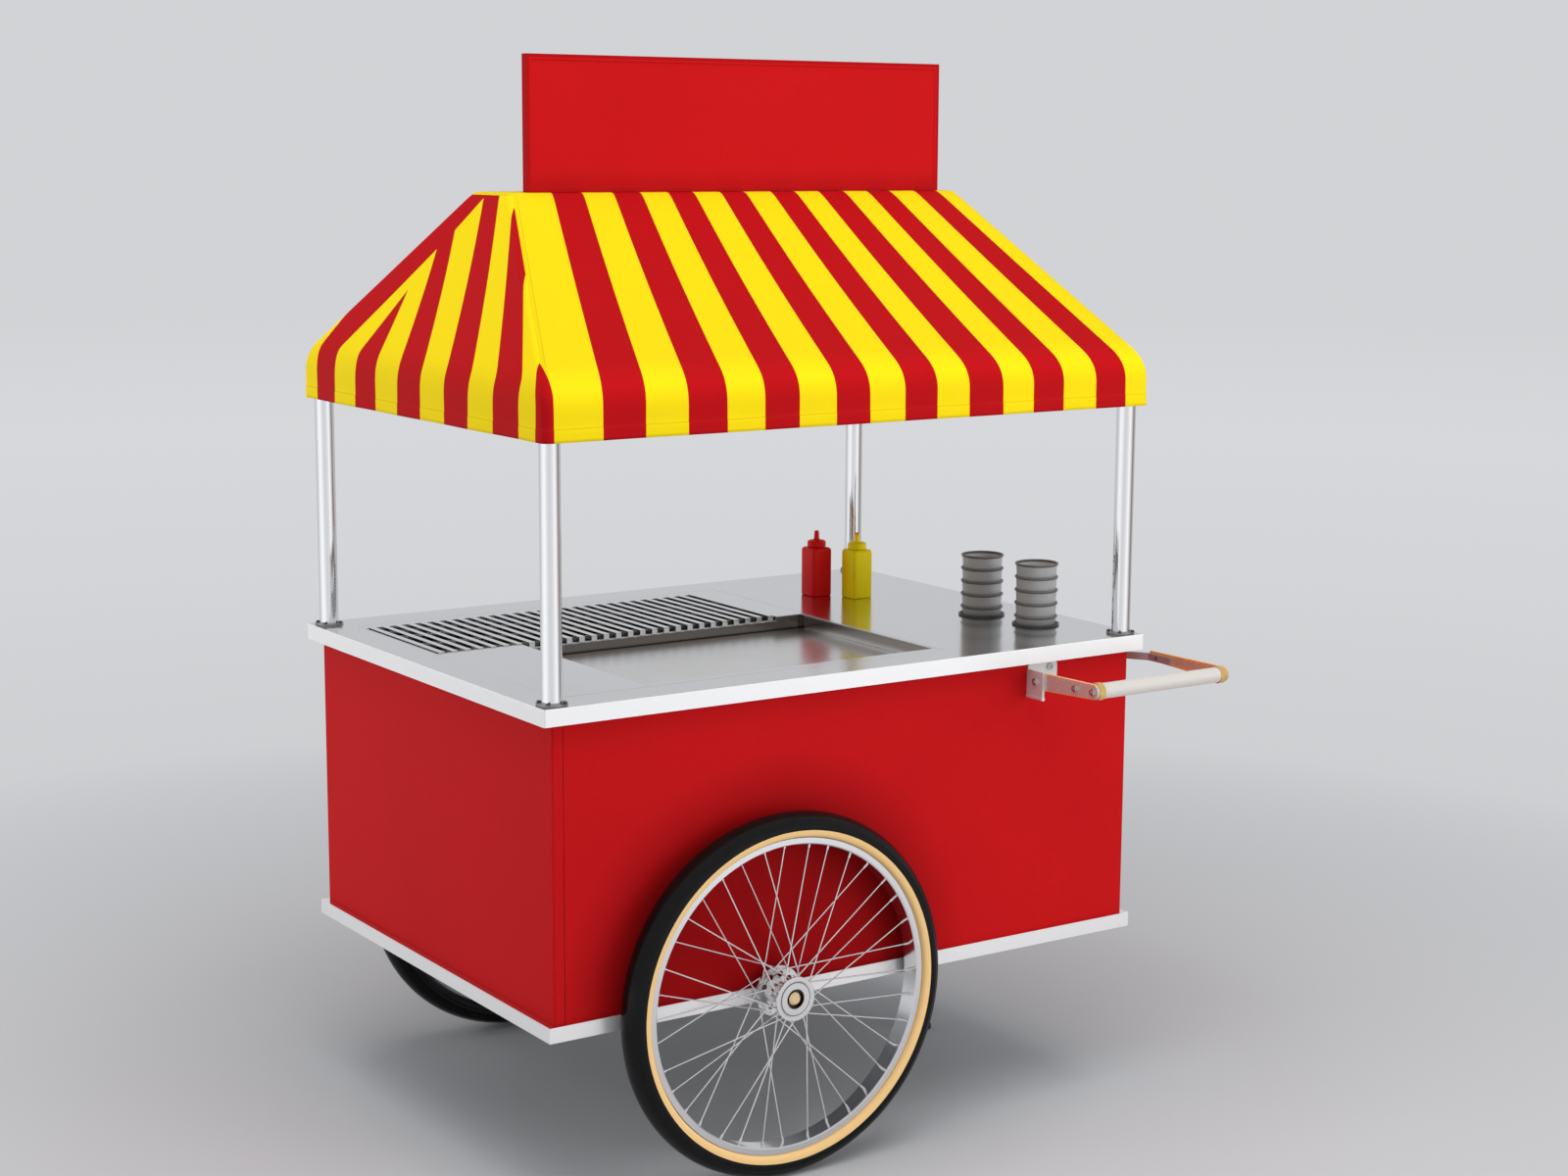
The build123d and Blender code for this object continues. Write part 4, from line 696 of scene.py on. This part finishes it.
def hangCloth(bm):  # the slopes hang in a little between the bars, and the valance ripples
    run, drop = canopy["top"] - canopy["shoulder"], canopy["shoulder"] - canopy["foot"]
    (waveX, shiftX), (waveY, shiftY) = canopy["waves"]
    skirt = canopy["corner"] + 1
    for vert in bm.verts:
        x, y, z = vert.co
        t = (z - canopy["shoulder"]) / run
        halfX, halfY = [half - max(t, 0) * (half - crown)
                        for half, crown in zip(canopy["half"], canopy["crown"])]
        if 0 < t < canopy["sagTo"]:
            if halfX - abs(x) < halfY - abs(y):
                vert.co.x -= canopy["sag"][0] * sin(pi * t) * max(0, 1 - (y / halfY) ** 2) * side(x)
            else:
                vert.co.y -= canopy["sag"][1] * sin(pi * t) * max(0, 1 - (x / halfX) ** 2) * side(y)
        elif t <= 0:
            hang = canopy["ripple"] * min(1, (canopy["shoulder"] - z) / drop)
            vert.co.x += hang * sin(y / waveX + shiftX) * side(x) * (abs(x) > halfX - skirt)
            vert.co.y += hang * sin(x / waveY + shiftY) * side(y) * (abs(y) > halfY - skirt)


def buildCanopy():
    bm = bmesh.new()
    rows = canopyLevels()
    old = [half + canopy["hemProud"] for half in canopy["half"]]
    loop = startHem(bm, old, rows[0][0])
    for z, inward in rows[1:]:
        slopes = canopySlopes() if inward > 0 else (1, 1)
        new = [half - inward * slope for half, slope in zip(canopy["half"], slopes)]
        loop = raiseRow(bm, loop, z, old, new)
        old = new
    lid = bmesh.ops.edgeloop_fill(bm, edges=loop)["faces"]
    bmesh.ops.inset_region(bm, faces=lid, thickness=canopy["inset"], use_even_offset=True)
    hangCloth(bm)
    for vert in bm.verts:
        vert.co = at(*vert.co)
    sheet = toPiece("canopySheet", bm, "canopy_cover", 60)
    wall = sheet.modifiers.new("clothThickness", "SOLIDIFY")
    wall.thickness, wall.offset = canopy["cloth"], -1.0


finishes["awning_cloth"] = clothFinish()
buildCanopy()
print("canopy sheet ready")


# tyres

tyre = {
    "steps": 180, "band": (286.9, 301.0),
    # half of the section: radius, distance from the middle
    "outside": [(280.4, 16.6), (286.6, 17.0), (287.4, 19.5), (288.2, 23.4), (290.2, 26.2), (294.5, 27.6),
                (300.6, 28.4), (301.3, 27.7), (302.3, 28.5), (307, 28.8), (311.5, 28.2), (315.2, 26.5),
                (317.4, 24.5), (318.8, 24.4), (321.4, 21.8), (324.8, 17.2), (327.6, 11.6), (329.4, 5.8),
                (330, 0)],
    "inside": [(324, 0), (301, -24), (290, -14), (280.4, -12.5)],
}


def rubberFinish():  # black tread with a tan side band
    coat = Finish("tyreRubber", (0.004, 0.004, 0.004), 0.24, gloss=0.16)
    x, y, z = coat.axes()
    reach = fromAxle(x, z)
    wobble = coat.noise(30, 3) * 0.6
    band = (reach + wobble).between(*tyre["band"]) * (abs(y) > abs(wheelMid.y))  # on the outer side only
    worn = coat.noise(40, 4, 0.6)
    black = coat.mix(worn, (0.003, 0.003, 0.003), (0.008, 0.008, 0.008))
    tan = coat.mix(coat.lineNoise(reach * 1.4) * 0.6 + worn * 0.4, (0.96, 0.58, 0.23), (1.0, 0.72, 0.34))
    coat.put("Base Color", coat.mix(band, black, tan))
    coat.put("Roughness", 0.16 + worn * 0.1 + band * 0.25)
    coat.bump(coat.lineNoise(reach * 2.2) * 0.5 + coat.noise(600, 2) * 0.5, 0.14, 0.0005)
    return coat.mat


def buildTyre(node):
    low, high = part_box(node)
    outside, inside = tyre["outside"], tyre["inside"]
    ring = outside + [(radius, -across) for radius, across in outside[-2::-1]]
    ring += inside[::-1] + [(radius, -across) for radius, across in inside[1:]]
    bm = bmesh.new()
    lathe(bm, (low + high) / 2, (0, 1, 0), ring, tyre["steps"], True)
    toPiece(camel(node), bm, node, 50)


finishes["tyre_black"] = rubberFinish()
for node in ("front_tyre", "rear_tyre"):
    buildTyre(node)
print("tyres ready")


# screws and bolts

screwHead = {
    "sink": 3,
    "head": [(1, 0), (1, 0.72), (0.97, 0.88), (0.86, 1)],  # shares of the head's radius and height
    "socket": [(1, 1), (0.96, 0.35), (0, 0.25)],  # shares of the socket's radius and the head's height
}
bolts = {
    "radius": 6.5, "height": 4.0, "socket": 3.0, "shank": 4.0, "steps": 28,
    # foot of each head and the way it faces
    "heads": [((386, -637, 834), (-1, 0, 0)), ((386, -588, 832.5), (-1, 0, 0)),
              ((381, -480, 827), (-1, 0, 0)), ((706, -637, 834), (1, 0, 0)),
              ((706, -588, 832.5), (1, 0, 0)), ((706, -459, 835), (1, 0, 0)),
              ((432, -459, 821.5), (0, -1, 0)), ((432, -459, 847.5), (0, -1, 0)),
              ((629, -300, 803.5), (1, 0, 0)), ((629, -300, 847.5), (1, 0, 0))],
}
flangeScrews = {"radius": 3.5, "height": 2.5, "socket": 1.6, "shank": 2.0, "steps": 16,
                "reach": 22.5, "posts": (618, 443), "z": 894}


def screw(bm, foot, aim, spec):
    radius, height, socket, shank = [spec[key] for key in ("radius", "height", "socket", "shank")]
    profile = [(0, -screwHead["sink"]), (shank, -screwHead["sink"]), (shank, 0)]
    profile += [(radius * out, height * up) for out, up in screwHead["head"]]
    profile += [(socket * out, height * up) for out, up in screwHead["socket"]]
    lathe(bm, foot, aim, profile, spec["steps"])


def buildBolts():
    bm = bmesh.new()
    for foot, aim in bolts["heads"]:
        screw(bm, at(*foot), aim, bolts)
    toPiece("handleBolts", bm, "handle_bolts")


def buildFlangeScrews():
    bm = bmesh.new()
    postX, postY = flangeScrews["posts"]
    for postMid in [Vector((x, y, flangeScrews["z"])) for x in (-postX, postX) for y in (-postY, postY)]:
        for quarter in range(4):
            turned = radians(45 + 90 * quarter)
            foot = postMid + flangeScrews["reach"] * Vector((cos(turned), sin(turned), 0))
            screw(bm, at(*foot), (0, 0, 1), flangeScrews)
    toPiece("flangeScrews", bm, "flange_screws")


buildBolts()
buildFlangeScrews()
print("screws ready")


# squeeze bottles

bottle = {
    "side": 47, "tall": 100, "corner": 6, "shoulder": 7, "foot": 3,
    "red": (0.74, 0.008, 0.009), "yellow": (0.97, 0.79, 0.006), "tip": (0.92, 0.38, 0.02),
    "tipFrom": 126, "tipBlur": 6,
    "cap": [(0, 98), (14.5, 98), (14.5, 101), (18.6, 101.3), (19, 102.4), (19, 110), (18.2, 112.4),
            (15.4, 114.2), (8.2, 115), (6.4, 116.2), (5.6, 118.6), (5.1, 124), (4.8, 131), (4.2, 133.2),
            (2.6, 134), (0, 134)],
}


def capFinish(name, node, color):  # moulded cap with a tinted nozzle end
    coat = Finish(name, color, 0.34, gloss=0.16)
    tipFrom = span(node)[0].z + bottle["tipFrom"]
    z = coat.axes()[2]
    broad = coat.noise(14, 3)
    atTip = coat.fade((z - tipFrom) / bottle["tipBlur"])
    coat.put("Base Color", coat.mix(atTip, coat.tones(broad, color, 0.92, 1.06), bottle["tip"]))
    coat.put("Roughness", 0.3 + broad * 0.09)
    coat.bump(coat.noise(300, 2), 0.05, 0.0004)
    return coat.mat


def buildBottle(color):
    foot = footOf(color + "_bottle")
    wide, tall, near = bottle["side"] / 1000, bottle["tall"] / 1000, 1e-4
    bm = bmesh.new()
    bmesh.ops.create_cube(bm, size=1)
    bmesh.ops.scale(bm, vec=(wide, wide, tall), verts=bm.verts)
    upright = [edge for edge in bm.edges if abs(edge.verts[0].co.z - edge.verts[1].co.z) > wide / 2]
    roundOff(bm, upright, bottle["corner"], 4)
    top = [edge for edge in bm.edges if min(vert.co.z for vert in edge.verts) > tall / 2 - near]
    roundOff(bm, top, bottle["shoulder"], 4)
    bottom = [edge for edge in bm.edges if max(vert.co.z for vert in edge.verts) < near - tall / 2]
    roundOff(bm, bottom, bottle["foot"], 3)
    bmesh.ops.translate(bm, vec=foot + Vector((0, 0, tall / 2)), verts=bm.verts)
    toPiece(color + "Bottle", bm, color + "_bottle", 40)
    bm = bmesh.new()
    lathe(bm, foot, (0, 0, 1), bottle["cap"])
    toPiece(color + "Cap", bm, color + "_cap", 40)


finishes["bottle_red"] = mouldedFinish("bottleRed", bottle["red"], 0.34, 300, 0.16)
finishes["bottle_yellow"] = mouldedFinish("bottleYellow", bottle["yellow"], 0.34, 300, 0.16)
finishes["yellow_cap"] = capFinish("yellowCap", "yellow_bottle", bottle["yellow"])
for color in ("red", "yellow"):
    buildBottle(color)
print("bottles ready")


# cup stacks

cups = {
    "count": 5, "pitch": 25.5, "rimFrom": 89.5, "metal": (0.74, 0.74, 0.74), "rim": (0.15, 0.15, 0.155),
    "profile": [(0, 2), (30, 2), (31.5, 0), (33.6, 0), (34.3, 1.6), (39.4, 89.5), (40.6, 90.2), (41.8, 91.6),
                (42, 93.2), (41.4, 94.6), (40.2, 95), (39.1, 94.2), (38.7, 92), (33.5, 4), (32.4, 3), (0, 3)],
}


def cupFinish(name):  # satin metal, the rolled rims darker
    coat = Finish(name, cups["metal"], 0.4, 0.3)
    z = coat.axes()[2]
    worn = coat.noise(40, 4, 0.6)
    level = ((z - span("cups_left")[0].z - cups["rimFrom"]) / cups["pitch"]).part()
    rim = coat.ramp(level, (0.0, 0.5), (0.04, 1.0), (0.18, 1.0), (0.26, 0.0), (0.9, 0.0))
    coat.put("Base Color", coat.mix(rim, coat.tones(worn, cups["metal"], 0.92, 1.0), cups["rim"]))
    coat.put("Roughness", 0.34 + worn * 0.14)
    coat.bump(coat.noise(1.0, 4, 0.6, (60, 60, 900)), 0.05, 0.0004)
    return coat.mat


def buildCups(node):
    bm = bmesh.new()
    for level in range(cups["count"]):
        foot = footOf(node) + Vector((0, 0, level * cups["pitch"] / 1000))
        lathe(bm, foot, (0, 0, 1), cups["profile"], 64)
    toPiece(camel(node), bm, node, 60)


finishes["cup_metal"] = cupFinish("cupMetal")
for node in ("cups_left", "cups_right"):
    buildCups(node)
print("cups ready")


# gas knobs

knobs = {
    "places": {"knob_grill": (-209, 457, 780), "knob_pan": (-92, 457, 780)},
    "profile": [(0, 0), (18.4, 0), (19, 0.8), (19, 3.2), (18.2, 4.2), (15.2, 5.0), (14.2, 6.4), (13.4, 16.2),
                (12.4, 17.6), (10.6, 18), (0, 18)],
    "pointer": {"half": 1.1, "from": 782, "to": 791, "face": 474.5, "white": (0.75, 0.75, 0.73)},
}


def knobFinish(name, color):  # black moulding with a white pointer
    coat = Finish(name, color, 0.42)
    line = knobs["pointer"]
    x, y, z = coat.axes()
    broad = coat.noise(14, 3)
    aside = [abs(x - place[0]) for place in knobs["places"].values()]
    pointer = (aside[0].least(aside[1]) < line["half"]) * z.between(line["from"], line["to"])
    pointer = pointer * (y > line["face"])
    coat.put("Base Color", coat.mix(pointer, coat.tones(broad, color, 0.8, 1.2), line["white"]))
    coat.put("Roughness", 0.38 + broad * 0.09)
    coat.bump(coat.noise(700, 2) * 0.3 - pointer, 0.1, 0.0004)
    return coat.mat


finishes["knob_black"] = knobFinish("knobBlack", (0.015, 0.015, 0.016))
for node, place in knobs["places"].items():
    bm = bmesh.new()
    lathe(bm, at(*place), (0, 1, 0), knobs["profile"])
    toPiece(camel(node), bm, node, 30)
print("knobs ready")


# CAD pieces that keep their shape

for name, node in nodes.items():
    node.data.materials.clear()
    node.data.materials.append(finishes[slotOf[name]])
print("finishes on the CAD pieces")


# stage

stage = {
    "tone": (0.60, 0.607, 0.625), "fill": 0.5, "sky": 1.07, "radius": 60,
    "near": 1.2, "far": 3.2,  # the lit floor fades into a plain backdrop between these, in metres
    "under": [(0.4, 0.0), (0.75, 1.0)], "underTone": 0.82,  # deeper shade under the cart
    "distant": [(0.04, 1.0), (0.16, 1.09), (0.3, 1.13), (0.6, 1.07)], "reach": 40,  # brightness over 40 m
    # what metal sees of the room, by the turn from the front left corner: light and dark screens
    "front": (-0.56, -0.83), "brown": (0.60, 0.49, 0.43),
    "walls": [(0.0, 0.9), (0.178, 0.96), (0.294, 1.6), (0.353, 1.75), (0.403, 1.45), (0.469, 1.15),
              (0.531, 1.2), (0.597, 1.45), (0.647, 1.75), (0.706, 1.1), (0.769, 0.4), (0.842, 0.8),
              (1.0, 0.9)],
}


def floorFinish():
    coat = Finish("studioFloor", stage["tone"], 0.9, gloss=0.1)
    x, y = coat.axes()[:2]
    reach = (x * x + y * y) ** 0.5 / 1000
    shadow = shade(stage["tone"], stage["underTone"])
    coat.put("Base Color", coat.mix(coat.ramp(reach, *stage["under"]), shadow, stage["tone"]))
    frontX, frontY = stage["front"]
    turned = (x * -frontY + y * frontX).angle(x * frontX + y * frontY) / (2 * pi) + 0.5
    walls = coat.ramp(turned, *stage["walls"])
    inMetal = coat.add("ShaderNodeLightPath", out="Is Glossy Ray")
    brown = coat.ramp(walls, (0.4, 1.0), (0.9, 0.0)) * inMetal
    distant = coat.ramp(reach / stage["reach"], *stage["distant"])
    glow = coat.add("ShaderNodeEmission", {}, {"Color": coat.mix(brown, stage["tone"], stage["brown"]),
                                               "Strength": distant + inMetal * (walls - distant)})
    fade = coat.fade((reach - stage["near"]) / (stage["far"] - stage["near"]))
    lit = Val(coat, coat.shader.outputs[0])
    both = coat.add("ShaderNodeMixShader", {}, {0: fade, 1: lit, 2: glow})
    coat.feed(coat.tree.nodes["Material Output"].inputs["Surface"], both)
    return coat.mat


def buildFloor():
    bm = bmesh.new()
    bmesh.ops.create_circle(bm, cap_ends=True, segments=96, radius=stage["radius"])
    mesh = bpy.data.meshes.new("studioFloor")
    bm.to_mesh(mesh)
    bm.free()
    mesh.materials.append(floorFinish())
    floor = bpy.data.objects.new("studioFloor", mesh)
    scene.collection.objects.link(floor)


def buildWorld():
    world = bpy.data.worlds.new("studioWorld")
    world.use_nodes = True
    kit = Kit(world.node_tree)
    inView, inMetal, inGlass = [kit.add("ShaderNodeLightPath", out="Is " + kind + " Ray")
                                for kind in ("Camera", "Glossy", "Transmission")]
    seen = inView.most(inMetal).most(inGlass)
    sky = kit.tree.nodes["Background"]
    kit.feed(sky.inputs["Color"], (*stage["tone"], 1))
    kit.feed(sky.inputs["Strength"], stage["fill"] + seen * (stage["sky"] - stage["fill"]))
    scene.world = world


lamps = {  # place, aim, size, watts
    "roofLamp": ((-0.6, -1.2, 4.6), (0, 0, 0.6), (4.0, 4.0), 138),
    "frontLamp": ((2.3, -3.4, 1.5), (0, 0, 0.8), (3.2, 3.0), 70),
    "leftLamp": ((-3.2, 2.4, 1.5), (0, 0, 0.8), (3.2, 3.0), 50),
}


def buildLamp(name, place, aim, size, watts):
    lamp = bpy.data.lights.new(name, "AREA")
    lamp.shape, lamp.size, lamp.size_y, lamp.energy = "RECTANGLE", size[0], size[1], watts
    holder = bpy.data.objects.new(name, lamp)
    holder.location = place
    holder.rotation_euler = (Vector(aim) - Vector(place)).to_track_quat("-Z", "Y").to_euler()
    holder.visible_camera = False
    holder.visible_glossy = False  # metal shows the room, not the lamps
    scene.collection.objects.link(holder)


buildFloor()
buildWorld()
for name, settings in lamps.items():
    buildLamp(name, *settings)
print("stage ready")
